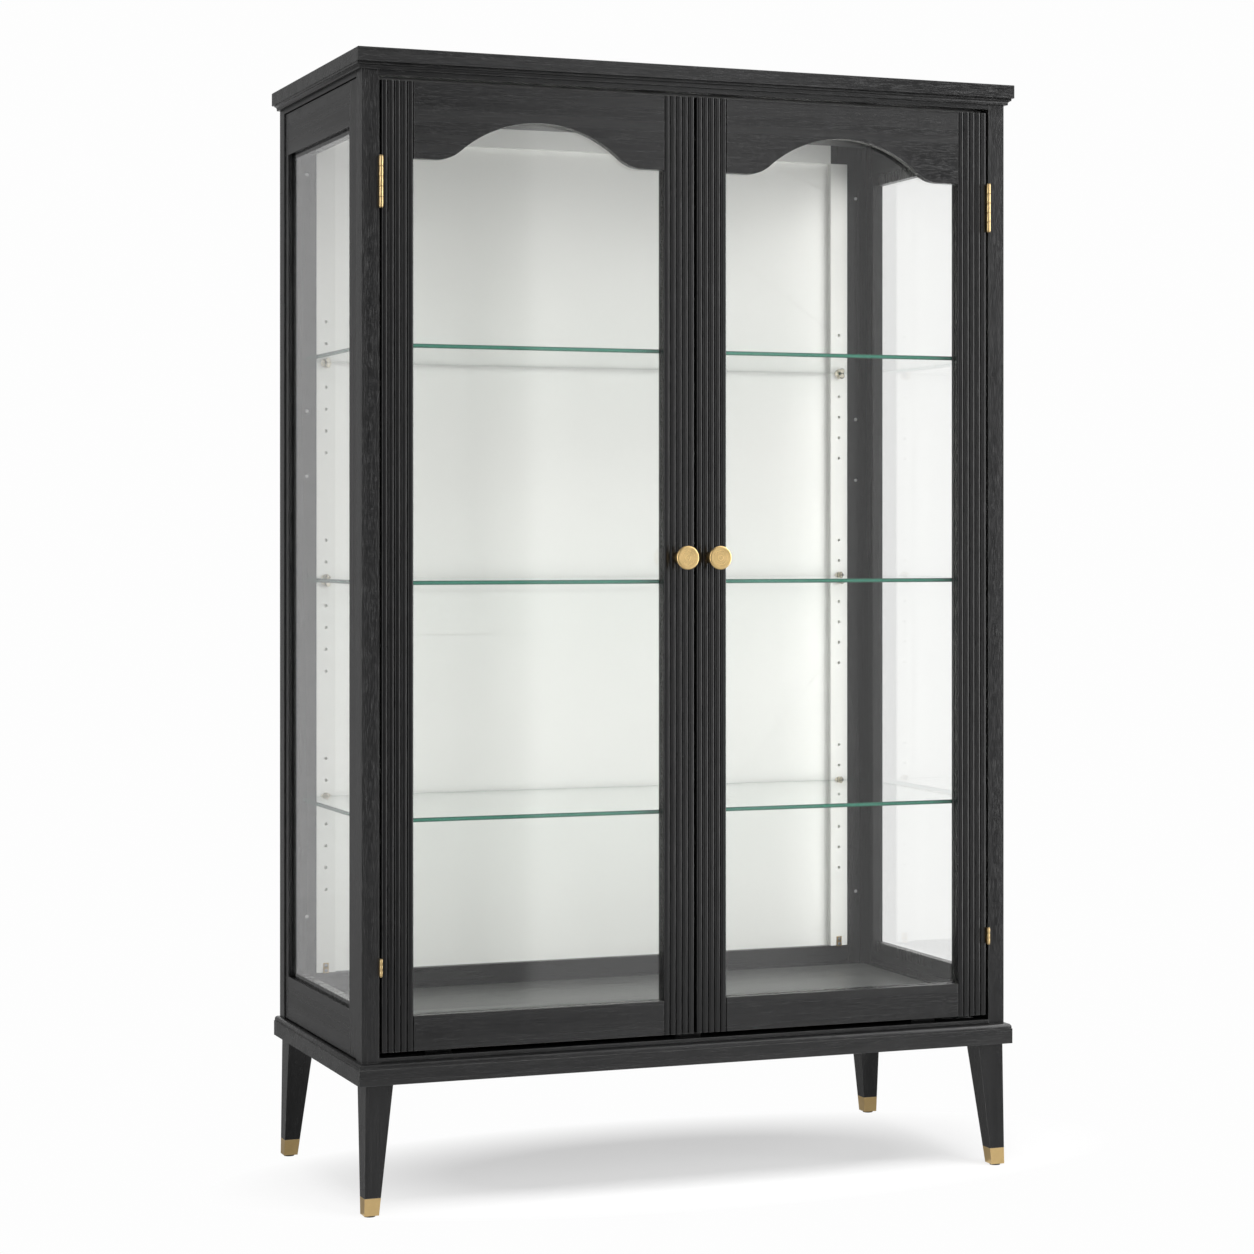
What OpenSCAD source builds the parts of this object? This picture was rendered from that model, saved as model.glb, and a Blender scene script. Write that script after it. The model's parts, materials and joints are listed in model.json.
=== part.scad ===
// Glazed display showcase: a dark stained timber case on four splayed legs, with two
// arched glass doors, glazed sides, a white back and three glass shelves.
// Millimetres. +X is to the right, the doors face -Y, +Z is up. The origin lies on the
// floor, under the middle of the whole object's outline.

/* [Overall] */
// Width of the top board
overall_w = 1040; // [860:5:1260]
// Depth of the top board, front edge to rear edge
overall_d = 490; // [400:5:600]
// Height from the floor to the upper face of the top board
overall_h = 1652; // [1370:1:1990]

/* [Top] */
// Thickness of the top board
top_t = 20; // [14:1:30]
// Top board past the front face of the case
top_front_out = 17; // [13:1:24]
// Top board past each side of the case
top_side_out = 10; // [10:1:16]
// Top board past the rear of the case
top_rear_out = 12; // [4:1:20]
// Height of the cove moulding under the top board
cornice_h = 9; // [8:0.5:12]
// Projection of the cove moulding at its upper edge
cornice_out = 9; // [8:0.5:10]
// Radius of the cove
cove_r = 4; // [2:0.5:5]
// Height of the top rail that shows under the moulding
top_rail_show = 7.5; // [5:0.5:20]
// Thickness of the ceiling board
ceiling_t = 21; // [12:1:26]

/* [Base] */
// Height of the legs, glides included
leg_h = 187; // [120:1:240]
// Thickness of the base board
base_t = 30; // [22:1:40]
// Base board past the front face of the case
base_front_out = 14.5; // [10:0.5:20]
// Base board past each side of the case
base_side_out = 7.5; // [6:0.5:12]
// Base board past the rear of the case
base_rear_out = 7; // [6:0.5:12]
// Height of the stepped upper edge of the base board
base_step_h = 7.5; // [6:0.5:12]
// Inset of the stepped upper edge
base_step_in = 1; // [0.5:0.1:3]
// Radius on the upper edge of the base board
base_edge_r = 5; // [2:0.5:5.5]

/* [Legs] */
// Side of the square leg where it meets the base board
leg_top_s = 41; // [34:1:52]
// Side of the square leg where the ferrule begins
leg_low_s = 24; // [22:0.5:32]
// Side of the ferrule at its foot
ferrule_foot_s = 21.5; // [18:0.5:24]
// Height of the brass ferrule
ferrule_h = 24.5; // [15:0.5:40]
// Wall of the ferrule
ferrule_wall = 1.2; // [0.8:0.1:2]
// Outward lean of the leg over its height, in X and in Y
leg_splay = 12; // [0:1:20]
// Leg top in from the side of the base board
leg_in_x = 12; // [10:1:30]
// Leg top in from the front of the base board
leg_front_in = 10; // [4:1:30]
// Leg top in from the rear of the base board
leg_rear_in = 5; // [4:1:30]
// Diameter of the glide under each leg
glide_d = 17; // [12:0.5:18]
// Thickness of the glide
glide_t = 2.5; // [2:0.5:6]
// Diameter of the bolt that holds a leg
leg_bolt_d = 8; // [6:1:10]

/* [Case] */
// Side of the square corner posts
post_s = 26; // [24:1:40]
// Side frames back from the outer face of the posts
side_in = 2; // [0:0.5:3]
// Width of the front stiles of the side frames
side_front_stile_w = 44; // [24:1:60]
// Width of the rear stiles of the side frames
side_rear_stile_w = 18; // [16:1:45]
// Height of the top rail of the side frames
side_top_rail_h = 64; // [40:1:90]
// Height of the bottom rail of the side frames
side_low_rail_h = 65.5; // [50:0.5:100]
// Shadow gap above and below a side frame
side_gap = 1.5; // [1:0.5:3]
// Height of the strip under the doors
low_rail_h = 6; // [4:0.5:20]
// Thickness of the floor board
floor_t = 18; // [12:1:24]
// Height of the bearers under the floor board
bearer_h = 16; // [12:1:24]
// Thickness of the back panel
back_t = 5; // [3:0.5:8]
// Thickness of the rails and stiles in front of the back panel
back_frame_t = 12; // [12:1:18]
// Width of the dark strip in each rear corner
corner_strip_w = 31; // [20:1:45]
// Width of the white stile that carries the shelves
back_stile_w = 30; // [22:1:45]
// Height of the white rail under the ceiling
back_top_rail_h = 30; // [20:1:60]
// Height of the dark rail on the floor board
back_low_rail_h = 32; // [20:1:60]

/* [Doors] */
// Thickness of the doors
door_t = 24; // [20:1:25]
// Gap between a door and its post
door_side_gap = 3.5; // [3.5:0.5:6]
// Gap between the two doors
door_mid_gap = 3.5; // [2.5:0.5:6]
// Gap over the doors
door_top_gap = 6; // [3:0.5:10]
// Gap under the doors
door_low_gap = 7.5; // [3:0.5:12]
// Width of the door stiles
stile_w = 48; // [38:1:60]
// Reeds across the face of a stile
reed_count = 5; // [3:1:7]
// Width of the groove between two reeds
groove_w = 3.4; // [2:0.2:5]
// Depth of the groove between two reeds
groove_d = 3; // [1:0.2:5]
// Height of the door's top rail at its ends
door_top_rail_h = 110; // [90:1:140]
// Rise of the arch under the top rail
arch_rise = 59; // [30:1:70]
// Level part of the arch edge at each end
arch_flat = 33; // [10:1:60]
// Radius at the foot of the arch
arch_foot_r = 56; // [20:1:90]
// Height of the door's bottom rail
door_low_rail_h = 50; // [40:1:80]

/* [Glass] */
// Thickness of the door and side glass
pane_t = 4; // [3:0.5:6]
// Door glass behind the face of the door
pane_in = 12; // [8:0.5:14]
// Side glass behind the face of the side frame
side_pane_in = 6; // [4:0.5:14]
// Width of the rebate that takes the glass
rebate_w = 8; // [6:0.5:12]
// Side bead past the edge of its frame
bead_out = 8; // [0:0.5:10]
// Thickness of the glass shelves
shelf_t = 6; // [5:0.5:10]
// Clear space between a shelf and the doors
shelf_front_gap = 10; // [4:0.5:40]

/* [Shelves] */
// Under side of the lower shelf above the floor
lower_shelf_z = 552.5; // [400:0.5:620]
// Pitch of the shelf holes
hole_pitch = 34; // [25:1:40]
// Holes from one shelf to the next
shelf_steps = 10; // [6:1:10]
// Spare holes over each shelf support
spare_up = 2; // [0:1:3]
// Spare holes under each shelf support
spare_down = 4; // [0:1:4]
// Diameter of the shelf holes
shelf_hole_d = 5; // [3:0.5:7]
// Diameter of the disc of a shelf support
support_disc_d = 18; // [14:1:24]

/* [Hardware] */
// Height of the upper hinges
upper_hinge_h = 72; // [50:1:100]
// Height of the lower hinges
lower_hinge_h = 24; // [18:1:72]
// Hinges in from the top and the bottom of the doors
hinge_in = 109; // [60:1:160]
// Diameter of the upper hinge barrels
barrel_d = 6.4; // [5.6:0.2:8]
// Diameter of the lower hinge barrels
lower_barrel_d = 4.6; // [4.2:0.2:8]
// Thickness of the hinge leaves
leaf_t = 1.5; // [1:0.1:1.6]
// Depth of the hinge leaves
leaf_d = 18; // [12:1:20]
// Diameter of the hinge pins
pin_d = 2.4; // [2:0.1:2.8]
// Height of the knobs above the floor
knob_z = 931; // [700:1:1100]
// Diameter of the knob's disc
knob_d = 35; // [26:1:44]
// How far the knobs stand out from the doors
knob_out = 35; // [22:1:45]

/* [Hidden] */

$fn = 64;
eps = 0.01;
// Running clearance on a radius, and the slack around a pane or a loose board
fit = 0.05;
slack = 0.3;
wood = [0.2, 0.2, 0.2];
white = [0.92, 0.92, 0.9];
brass = [0.78, 0.62, 0.36];
glass = [0.6, 0.85, 0.78, 0.4];
black = [0.08, 0.08, 0.08];
steel = [0.7, 0.7, 0.7];

// Plan of the case
body_x = overall_w / 2 - top_side_out;
knob_past = max(0, knob_out - top_front_out);
top_front_y = knob_past / 2 - overall_d / 2;
body_front_y = top_front_y + top_front_out;
body_back_y = top_front_y + overall_d - top_rear_out;
in_x = body_x - post_s;
side_x = body_x - side_in;
side_front_y = body_front_y + post_s;
side_back_y = body_back_y - post_s;
side_open_front_y = side_front_y + side_front_stile_w;
side_open_back_y = side_back_y - side_rear_stile_w;
side_pane_x = side_x - side_pane_in - pane_t;
panel_in = 1;
panel_back_y = body_back_y - panel_in;
back_panel_y = panel_back_y - back_t;
back_face_y = back_panel_y - back_frame_t;
strip_x = in_x - corner_strip_w;
stile_x = strip_x - back_stile_w;

// Levels of the case
base_top_z = leg_h + base_t;
top_under_z = overall_h - top_t;
top_rail_z = top_under_z - cornice_h - top_rail_show;
ceiling_z = top_under_z - ceiling_t;
floor_under_z = base_top_z + bearer_h;
floor_z = floor_under_z + floor_t;
side_low_z = base_top_z + side_gap;
side_high_z = top_rail_z - side_gap;
side_open_low_z = side_low_z + side_low_rail_h;
side_open_high_z = side_high_z - side_top_rail_h;
back_low_z = floor_z + back_low_rail_h;
back_high_z = ceiling_z - back_top_rail_h;

// Doors
door_back_y = body_front_y + door_t;
stop_y = door_back_y + 1;
door_out_x = in_x - door_side_gap;
door_mid_x = door_mid_gap / 2;
door_low_z = base_top_z + low_rail_h + door_low_gap;
door_high_z = top_rail_z - door_top_gap;
door_h = door_high_z - door_low_z;
pane_front_y = body_front_y + pane_in;
open_out_x = door_out_x - stile_w;
open_in_x = door_mid_x + stile_w;
open_mid_x = (open_out_x + open_in_x) / 2;
open_w = open_out_x - open_in_x;
open_low_z = door_low_z + door_low_rail_h;
arch_low_z = door_high_z - door_top_rail_h;
arch_top_z = arch_low_z + arch_rise;
arch_half = open_w / 2 - arch_flat;
arch_sum_r = (pow(arch_half, 2) + pow(arch_rise, 2)) / (2 * arch_rise);
arch_turn = 2 * atan(arch_rise / arch_half);
foot_r = min(arch_foot_r, arch_sum_r * 0.6);
crown_r = arch_sum_r - foot_r;
// Half of the arch edge, from its crown down to its foot, about the middle of the door
arch_steps = 16;
crown_arc = arc([0, arch_rise - crown_r], crown_r, 90, 90 - arch_turn, arch_steps);
foot_arc = arc([arch_half, foot_r], foot_r, 270 - arch_turn, 270, arch_steps);
half_arch = concat(crown_arc, foot_arc);
arch_last = len(half_arch) - 1;
rail_solid_h = 12;
pane_high_z = min(arch_top_z + 1.5 * rebate_w, door_high_z - rail_solid_h);
pane_slack = 1;

// Hinges
barrel_r = barrel_d / 2;
pin_r = pin_d / 2;
hinge_x = in_x - door_side_gap / 2;
leaf_in = 0.2;
hinge_y = body_front_y - barrel_r - leaf_in;
leaf_y = body_front_y + leaf_in;
upper_hinge_z = door_high_z - hinge_in - upper_hinge_h;
lower_hinge_z = door_low_z + hinge_in;
upper_knuckles = 5;
lower_knuckles = 3;
knuckle_gap = 0.4;
pin_cap_h = 1;
hinge_screw_l = 14;
hinge_screw_r = 1.5;
hinge_screw_head_r = 2.8;
// Each hinge: level of its foot, height, knuckles, screws per leaf, radius of the barrel
HINGES = [
    [upper_hinge_z, upper_hinge_h, upper_knuckles, 3, barrel_r],
    [lower_hinge_z, lower_hinge_h, lower_knuckles, 2, lower_barrel_d / 2]
];

// Shelves and their supports
support_disc_t = 2.7;
support_gap = 3;
support_pin_l = 9;
support_arm_l = 11;
support_arm_d = 8;
support_stub_d = 5;
support_stub_l = 7;
support_rise = 0.4;
shelf_x = in_x - support_gap;
shelf_front_y = door_back_y + shelf_front_gap;
shelf_back_y = back_face_y - support_gap;
front_support_y = side_front_y + side_front_stile_w / 2;
rear_support_x = strip_x - back_stile_w / 2;
shelf_rise = hole_pitch * shelf_steps;
SHELF_Z = [for (i = [0:2]) lower_shelf_z + i * shelf_rise];
support_hole_drop = support_arm_d / 2;

// Floor bearers
bearer_w = 40;
bearer_in = 4;

// Legs
leg_x = body_x + base_side_out - leg_in_x - leg_top_s / 2;
leg_front_y = body_front_y - base_front_out + leg_front_in + leg_top_s / 2;
leg_rear_y = body_back_y + base_rear_out - leg_rear_in - leg_top_s / 2;
LEGS = [[-1, -1], [1, -1], [-1, 1], [1, 1]];
leg_bolt_low = 36;
leg_bolt_high = 20;
ferrule_top_z = glide_t + ferrule_h;
tenon_low_s = ferrule_foot_s - 2 * (ferrule_wall + fit);
tenon_high_s = leg_low_s - 2 * (ferrule_wall + fit);

// Screws through the back panel: a column up each corner strip and a row along each rail
strip_screws = 6;
strip_mid_x = (in_x + strip_x) / 2;
strip_span = top_under_z - base_top_z;
STRIP_SCREW_Z = [for (i = [0:strip_screws - 1]) base_top_z + strip_span * (i + 0.5) / strip_screws];
RAIL_SCREW_X = [for (i = [-1:1]) i * stile_x * 0.66];
RAIL_SCREW_Z = [(floor_z + back_low_z) / 2, (ceiling_z + back_high_z) / 2];
PANEL_SCREWS = concat(
    [for (x = [-strip_mid_x, strip_mid_x]) for (z = STRIP_SCREW_Z) [x, z]],
    [for (x = RAIL_SCREW_X) for (z = RAIL_SCREW_Z) [x, z]]
);
// Button screws on the front of the corner strips, at parts of the height between the rails
BUTTON_PLACES = [0.07, 0.61, 0.69, 0.98];
BUTTONS = [
    for (x = [-strip_mid_x, strip_mid_x])
        for (k = BUTTON_PLACES)
            [x, back_low_z + k * (side_open_high_z - back_low_z)]
];

// Knobs
knob_x = door_mid_x + stile_w / 2;
knob_rim = 5;
knob_foot_r = 9;
knob_neck_r = 7.4;

// Catches, plates and screws
catch_w = 42;
catch_h = 13;
catch_d = 18;
catch_x = 60;
strike_w = 30;
strike_h = 10;
strike_t = 1;
knob_bolt_r = 2;
knob_bolt_in = 10;
knob_bolt_head_r = 4;
knob_bolt_head_h = 1.6;
panel_screw_r = 1.5;
panel_screw_head_r = 3.5;
panel_screw_l = 9;
button_r = 2.8;
button_h = 1.2;
plate_w = 9;
plate_h = 16;
plate_up = 7;
plate_z = back_low_z + plate_up;
PLATE_SCREWS = [
    for (x = [-rear_support_x, rear_support_x])
        for (dz = [-plate_h / 4, plate_h / 4])
            [x, plate_z + dz]
];
plate_t = 1.2;

// ---- Shared shapes ----

// Box given by its two corners
module block(low, high) {
    translate(low)
        cube(high - low);
}

// Mirrors its children to the left side when side is -1
module on_side(side) {
    if (side < 0)
        mirror([1, 0, 0])
            children();
    else
        children();
}

// Bar of a profile drawn in Y and Z, run along X between two places
module along_x(x0, x1) {
    translate([x0, 0, 0])
        rotate([90, 0, 90])
            linear_extrude(x1 - x0)
                children();
}

// Bar of a profile drawn in X and Z, run along Y between two places
module along_y(y0, y1) {
    translate([0, y1, 0])
        rotate([90, 0, 0])
            linear_extrude(y1 - y0)
                children();
}

// Rod along +X from a point
module rod_x(at, r, length) {
    translate(at)
        rotate([0, 90, 0])
            cylinder(r = r, h = length);
}

// Rod along +Y from a point
module rod_y(at, r, length) {
    translate(at)
        rotate([-90, 0, 0])
            cylinder(r = r, h = length);
}

// ---- Top ----

module top_board() {
    color(wood)
        block([-overall_w / 2, top_front_y, top_under_z],
              [overall_w / 2, top_front_y + overall_d, overall_h]);
}

// Section of the cove moulding: X is its projection, Y its height
module cornice_section() {
    lip = cornice_out - cove_r;
    foot = max(0, cornice_h - cove_r - 3);
    difference() {
        square([cornice_out, cornice_h]);
        translate([cornice_out, foot])
            circle(cove_r);
        translate([lip, -eps])
            square([cove_r + eps, foot + eps]);
    }
}

module cornice_front() {
    color(wood)
        intersection() {
            translate([0, body_front_y, top_under_z - cornice_h])
                rotate([90, 0, -90])
                    linear_extrude(2 * (body_x + cornice_out), center = true)
                        cornice_section();
            translate([0, body_front_y, top_under_z - cornice_h])
                linear_extrude(cornice_h)
                    polygon([
                        [-body_x, 0],
                        [-body_x - cornice_out, -cornice_out],
                        [body_x + cornice_out, -cornice_out],
                        [body_x, 0]
                    ]);
        }
}

module cornice_side(side) {
    color(wood)
        on_side(side)
            intersection() {
                translate([body_x, 0, top_under_z - cornice_h])
                    along_y(body_front_y - cornice_out, body_back_y)
                        cornice_section();
                translate([body_x, body_front_y, top_under_z - cornice_h])
                    linear_extrude(cornice_h)
                        polygon([
                            [0, 0],
                            [cornice_out, -cornice_out],
                            [cornice_out, body_back_y - body_front_y],
                            [0, body_back_y - body_front_y]
                        ]);
            }
}

module cornice_left() {
    cornice_side(-1);
}

module cornice_right() {
    cornice_side(1);
}

module ceiling_board() {
    color(wood)
        block([-in_x + slack, stop_y, ceiling_z],
              [in_x - slack, back_panel_y - slack, top_under_z]);
}

// ---- Base and legs ----

// Section of the base board between two places, drawn upwards from its under side
module base_section(low, high) {
    step_z = base_t - base_step_h;
    step_low = low + base_step_in;
    step_high = high - base_step_in;
    translate([low, 0])
        square([high - low, step_z]);
    translate([step_low, step_z - eps])
        square([step_high - step_low, base_step_h - base_edge_r + eps]);
    translate([step_low + base_edge_r, step_z - eps])
        square([step_high - step_low - 2 * base_edge_r, base_step_h + eps]);
    for (x = [step_low + base_edge_r, step_high - base_edge_r])
        translate([x, base_t - base_edge_r])
            circle(base_edge_r);
}

module base_board() {
    x = body_x + base_side_out;
    color(wood)
        difference() {
            translate([0, 0, leg_h])
                intersection() {
                    along_x(-x, x)
                        base_section(body_front_y - base_front_out, body_back_y + base_rear_out);
                    along_y(body_front_y - base_front_out, body_back_y + base_rear_out)
                        base_section(-x, x);
                }
            for (at = LEGS)
                leg_bolt(at, fit);
        }
}

// Centre of a leg at height z
function leg_centre(at, z) = [
    at[0] * (leg_x + leg_splay * (leg_h - z) / leg_h),
    (at[1] < 0 ? leg_front_y : leg_rear_y) + at[1] * leg_splay * (leg_h - z) / leg_h,
    z
];

// Tapered leaning square bar between two levels, with the side at each
module leg_bar(at, z0, s0, z1, s1) {
    hull() {
        translate(leg_centre(at, z0) - [s0 / 2, s0 / 2, 0])
            cube([s0, s0, eps]);
        translate(leg_centre(at, z1) - [s1 / 2, s1 / 2, eps])
            cube([s1, s1, eps]);
    }
}

module leg_bolt(at, gap) {
    translate(leg_centre(at, leg_h) - [0, 0, leg_bolt_low])
        cylinder(d = leg_bolt_d + 2 * gap, h = leg_bolt_low + leg_bolt_high + gap);
}

module leg(at) {
    color(wood)
        difference() {
            union() {
                leg_bar(at, ferrule_top_z, leg_low_s, leg_h, leg_top_s);
                leg_bar(at, glide_t + ferrule_wall + fit, tenon_low_s, ferrule_top_z + eps, tenon_high_s);
            }
            leg_bolt(at, fit);
        }
}

module front_left_leg() {
    leg(LEGS[0]);
}

module front_right_leg() {
    leg(LEGS[1]);
}

module rear_left_leg() {
    leg(LEGS[2]);
}

module rear_right_leg() {
    leg(LEGS[3]);
}

module leg_ferrules() {
    color(brass)
        for (at = LEGS)
            difference() {
                leg_bar(at, glide_t, ferrule_foot_s, ferrule_top_z - fit, leg_low_s);
                leg_bar(at, glide_t + ferrule_wall, tenon_low_s + 2 * fit,
                        ferrule_top_z + eps, tenon_high_s + 2 * fit);
            }
}

module leg_glides() {
    color(black)
        for (at = LEGS)
            translate(leg_centre(at, 0))
                cylinder(d1 = glide_d - 1, d2 = glide_d, h = glide_t);
}

module leg_bolts() {
    color(steel)
        for (at = LEGS)
            leg_bolt(at, 0);
}

// ---- Case ----

// Holes for the hinge screws, as rods with a gap, in the post (out = 1) or the stile (-1)
module hinge_screw_rods(out, gap) {
    x = out > 0 ? in_x : door_out_x - hinge_screw_l;
    for (h = HINGES)
        for (z = screw_levels(h))
            rod_x([x, leaf_y + leaf_d / 2, z], hinge_screw_r + gap, hinge_screw_l + gap);
}

// Levels of the screws in one hinge
function screw_levels(h) = [for (i = [0:h[3] - 1]) h[0] + h[1] * (i + 0.5) / h[3]];

module front_post(side) {
    color(wood)
        on_side(side)
            difference() {
                block([in_x, body_front_y, base_top_z], [body_x, side_front_y, top_under_z]);
                hinge_screw_rods(1, fit);
            }
}

module front_left_post() {
    front_post(-1);
}

module front_right_post() {
    front_post(1);
}

module rear_post(side) {
    color(wood)
        on_side(side)
            block([in_x, side_back_y, base_top_z], [body_x, body_back_y, top_under_z]);
}

module rear_left_post() {
    rear_post(-1);
}

module rear_right_post() {
    rear_post(1);
}

module front_top_rail() {
    color(wood)
        block([-in_x, body_front_y, top_rail_z], [in_x, door_back_y, top_under_z]);
}

module front_bottom_rail() {
    color(wood)
        block([-in_x, body_front_y, base_top_z], [in_x, door_back_y, base_top_z + low_rail_h]);
}

module side_top_strips() {
    color(wood)
        for (side = [-1, 1])
            on_side(side)
                block([in_x, side_front_y, top_rail_z], [body_x, side_back_y, top_under_z]);
}

// Rebate for the side glass and its beads
module side_rebate() {
    block([in_x - eps, side_open_front_y - rebate_w, side_open_low_z - rebate_w],
          [side_x - side_pane_in, side_open_back_y + rebate_w, side_open_high_z + rebate_w]);
}

module side_stiles() {
    color(wood)
        for (side = [-1, 1])
            on_side(side)
                for (span = [[side_front_y, side_open_front_y], [side_open_back_y, side_back_y]])
                    difference() {
                        block([in_x, span[0], side_low_z], [side_x, span[1], side_high_z]);
                        side_rebate();
                        for (z = SHELF_Z)
                            rod_x([in_x - eps, front_support_y, z - support_hole_drop],
                                  shelf_hole_d / 2 + fit, support_pin_l + slack);
                    }
}

// Rails of the side frames between two levels
module side_rails(z0, z1) {
    color(wood)
        for (side = [-1, 1])
            on_side(side)
                difference() {
                    block([in_x, side_open_front_y + fit, z0], [side_x, side_open_back_y - fit, z1]);
                    side_rebate();
                }
}

module side_top_rails() {
    side_rails(side_open_high_z, side_high_z);
}

module side_bottom_rails() {
    side_rails(side_low_z, side_open_low_z);
}

module side_glass(side) {
    grow = rebate_w - pane_slack;
    color(glass)
        on_side(side)
            block([side_pane_x, side_open_front_y - grow, side_open_low_z - grow],
                  [side_pane_x + pane_t, side_open_back_y + grow, side_open_high_z + grow]);
}

module left_side_glass() {
    side_glass(-1);
}

module right_side_glass() {
    side_glass(1);
}

module side_glass_beads() {
    y0 = side_open_front_y - rebate_w + fit;
    y1 = side_open_back_y + rebate_w - fit;
    z0 = side_open_low_z - rebate_w + fit;
    z1 = side_open_high_z + rebate_w - fit;
    bead = rebate_w + bead_out;
    color(wood)
        for (side = [-1, 1])
            on_side(side) {
                for (y = [y0, y1 - bead])
                    block([in_x, y, z0], [side_pane_x, y + bead, z1]);
                for (z = [z0, z1 - bead])
                    block([in_x, y0 + bead + fit, z], [side_pane_x, y1 - bead - fit, z + bead]);
            }
}

// ---- Back ----

// Screws through the back panel, as rods with a gap
module panel_screw_rods(gap) {
    for (at = PANEL_SCREWS)
        rod_y([at[0], panel_back_y - panel_screw_l, at[1]], panel_screw_r + gap, panel_screw_l + eps);
}

// Button screws on the corner strips, as rods with a gap
module button_rods(gap) {
    for (at = BUTTONS)
        rod_y([at[0], back_face_y - eps, at[1]], panel_screw_r + gap, panel_screw_l);
}

// Screws of the joint plates, as rods with a gap
module plate_rods(gap) {
    for (at = PLATE_SCREWS)
        rod_y([at[0], back_face_y - plate_t - eps, at[1]], panel_screw_r + gap, panel_screw_l);
}

module back_panel() {
    color(white)
        difference() {
            block([-in_x + slack, back_panel_y, base_top_z], [in_x - slack, panel_back_y, top_under_z]);
            panel_screw_rods(fit);
        }
}

module back_corner_strips() {
    color(wood)
        for (side = [-1, 1])
            difference() {
                on_side(side) {
                    block([strip_x, back_face_y, floor_z], [in_x, back_panel_y, ceiling_z]);
                    block([stile_x, back_face_y, back_high_z + fit],
                          [strip_x - fit, back_panel_y, ceiling_z]);
                }
                panel_screw_rods(fit);
                button_rods(fit);
            }
}

// Holes for the shelf supports in the back stiles
module shelf_holes() {
    for (z = SHELF_Z)
        for (i = [-spare_down:spare_up])
            rod_y([rear_support_x, back_face_y - eps, z - support_hole_drop + i * hole_pitch],
                  shelf_hole_d / 2 + fit, support_pin_l + slack);
}

module back_stiles() {
    color(white)
        for (side = [-1, 1])
            difference() {
                on_side(side)
                    difference() {
                        block([stile_x, back_face_y, back_low_z], [strip_x - fit, back_panel_y, back_high_z]);
                        shelf_holes();
                    }
                plate_rods(fit);
            }
}

module back_top_rail() {
    color(white)
        difference() {
            block([-stile_x + fit, back_face_y, back_high_z], [stile_x - fit, back_panel_y, ceiling_z]);
            panel_screw_rods(fit);
        }
}

module back_bottom_rail() {
    color(wood)
        difference() {
            block([-strip_x + fit, back_face_y, floor_z], [strip_x - fit, back_panel_y, back_low_z]);
            panel_screw_rods(fit);
        }
}

module floor_board() {
    color(wood)
        block([-in_x + slack, stop_y, floor_under_z],
              [in_x - slack, back_panel_y - slack, floor_z]);
}

module floor_bearers() {
    color(wood)
        for (x = [-0.8, 0, 0.8])
            translate([x * in_x, 0, 0])
                block([-bearer_w / 2, stop_y + bearer_in, base_top_z],
                      [bearer_w / 2, back_panel_y - bearer_in, floor_under_z]);
}

// ---- Shelves ----

module shelf(z) {
    color(glass)
        block([-shelf_x, shelf_front_y, z], [shelf_x, shelf_back_y, z + shelf_t]);
}

module lower_shelf() {
    shelf(SHELF_Z[0]);
}

module middle_shelf() {
    shelf(SHELF_Z[1]);
}

module upper_shelf() {
    shelf(SHELF_Z[2]);
}

// Support that stands on a wall at the origin and reaches along +Y, its pin along -Y;
// Z is measured from the under side of the shelf
module support() {
    rod_y([0, -support_pin_l, -support_hole_drop], shelf_hole_d / 2, support_pin_l + eps);
    rod_y([0, 0, shelf_t / 2 - 1], support_disc_d / 2, support_disc_t);
    intersection() {
        rod_y([0, 0, -support_hole_drop], support_arm_d / 2 + 0.6, support_disc_t + support_arm_l);
        block([-support_arm_d, -eps, -support_arm_d - 1],
              [support_arm_d, support_disc_t + support_arm_l + 1, 0]);
    }
    rod_y([0, 0, shelf_t + support_rise + support_stub_d / 2], support_stub_d / 2,
          support_disc_t + support_stub_l);
}

module shelf_supports() {
    color(brass)
        for (z = SHELF_Z)
            for (side = [-1, 1])
                on_side(side) {
                    translate([rear_support_x, back_face_y, z])
                        rotate([0, 0, 180])
                            support();
                    translate([in_x, front_support_y, z])
                        rotate([0, 0, 90])
                            support();
                }
}

// ---- Small hardware of the case ----

module door_catches() {
    color(steel)
        for (side = [-1, 1])
            on_side(side)
                block([catch_x - catch_w / 2, door_back_y + strike_t + 0.4, ceiling_z - catch_h],
                      [catch_x + catch_w / 2, door_back_y + strike_t + catch_d, ceiling_z]);
}

module joint_plates() {
    color(brass)
        for (x = [-rear_support_x, rear_support_x])
            difference() {
                block([x - plate_w / 2, back_face_y - plate_t, plate_z - plate_h / 2],
                      [x + plate_w / 2, back_face_y, plate_z + plate_h / 2]);
                plate_rods(fit);
            }
}

// Round head that stands out along -Y from its seat
module button(at) {
    rod_y(at - [0, button_h, 0], button_r, button_h);
}

module case_screws() {
    color(brass) {
        panel_screw_rods(0);
        for (at = PANEL_SCREWS)
            rod_y([at[0], panel_back_y, at[1]], panel_screw_head_r, button_h);
        button_rods(0);
        for (at = BUTTONS)
            button([at[0], back_face_y, at[1]]);
        plate_rods(0);
        for (at = PLATE_SCREWS)
            button([at[0], back_face_y - plate_t, at[1]]);
        for (side = [-1, 1])
            on_side(side)
                hinge_screws(1);
    }
}

// Countersunk hinge screws, outwards into the post (out = 1) or inwards into the stile (-1)
module hinge_screws(out) {
    x = out > 0 ? in_x - leaf_t : door_out_x + leaf_t;
    for (h = HINGES)
        for (z = screw_levels(h))
            translate([x, leaf_y + leaf_d / 2, z])
                rotate([0, out * 90, 0]) {
                    cylinder(r1 = hinge_screw_head_r, r2 = hinge_screw_r, h = leaf_t);
                    cylinder(r = hinge_screw_r, h = leaf_t + hinge_screw_l - 1);
                }
}

// ---- Hinges ----

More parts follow.
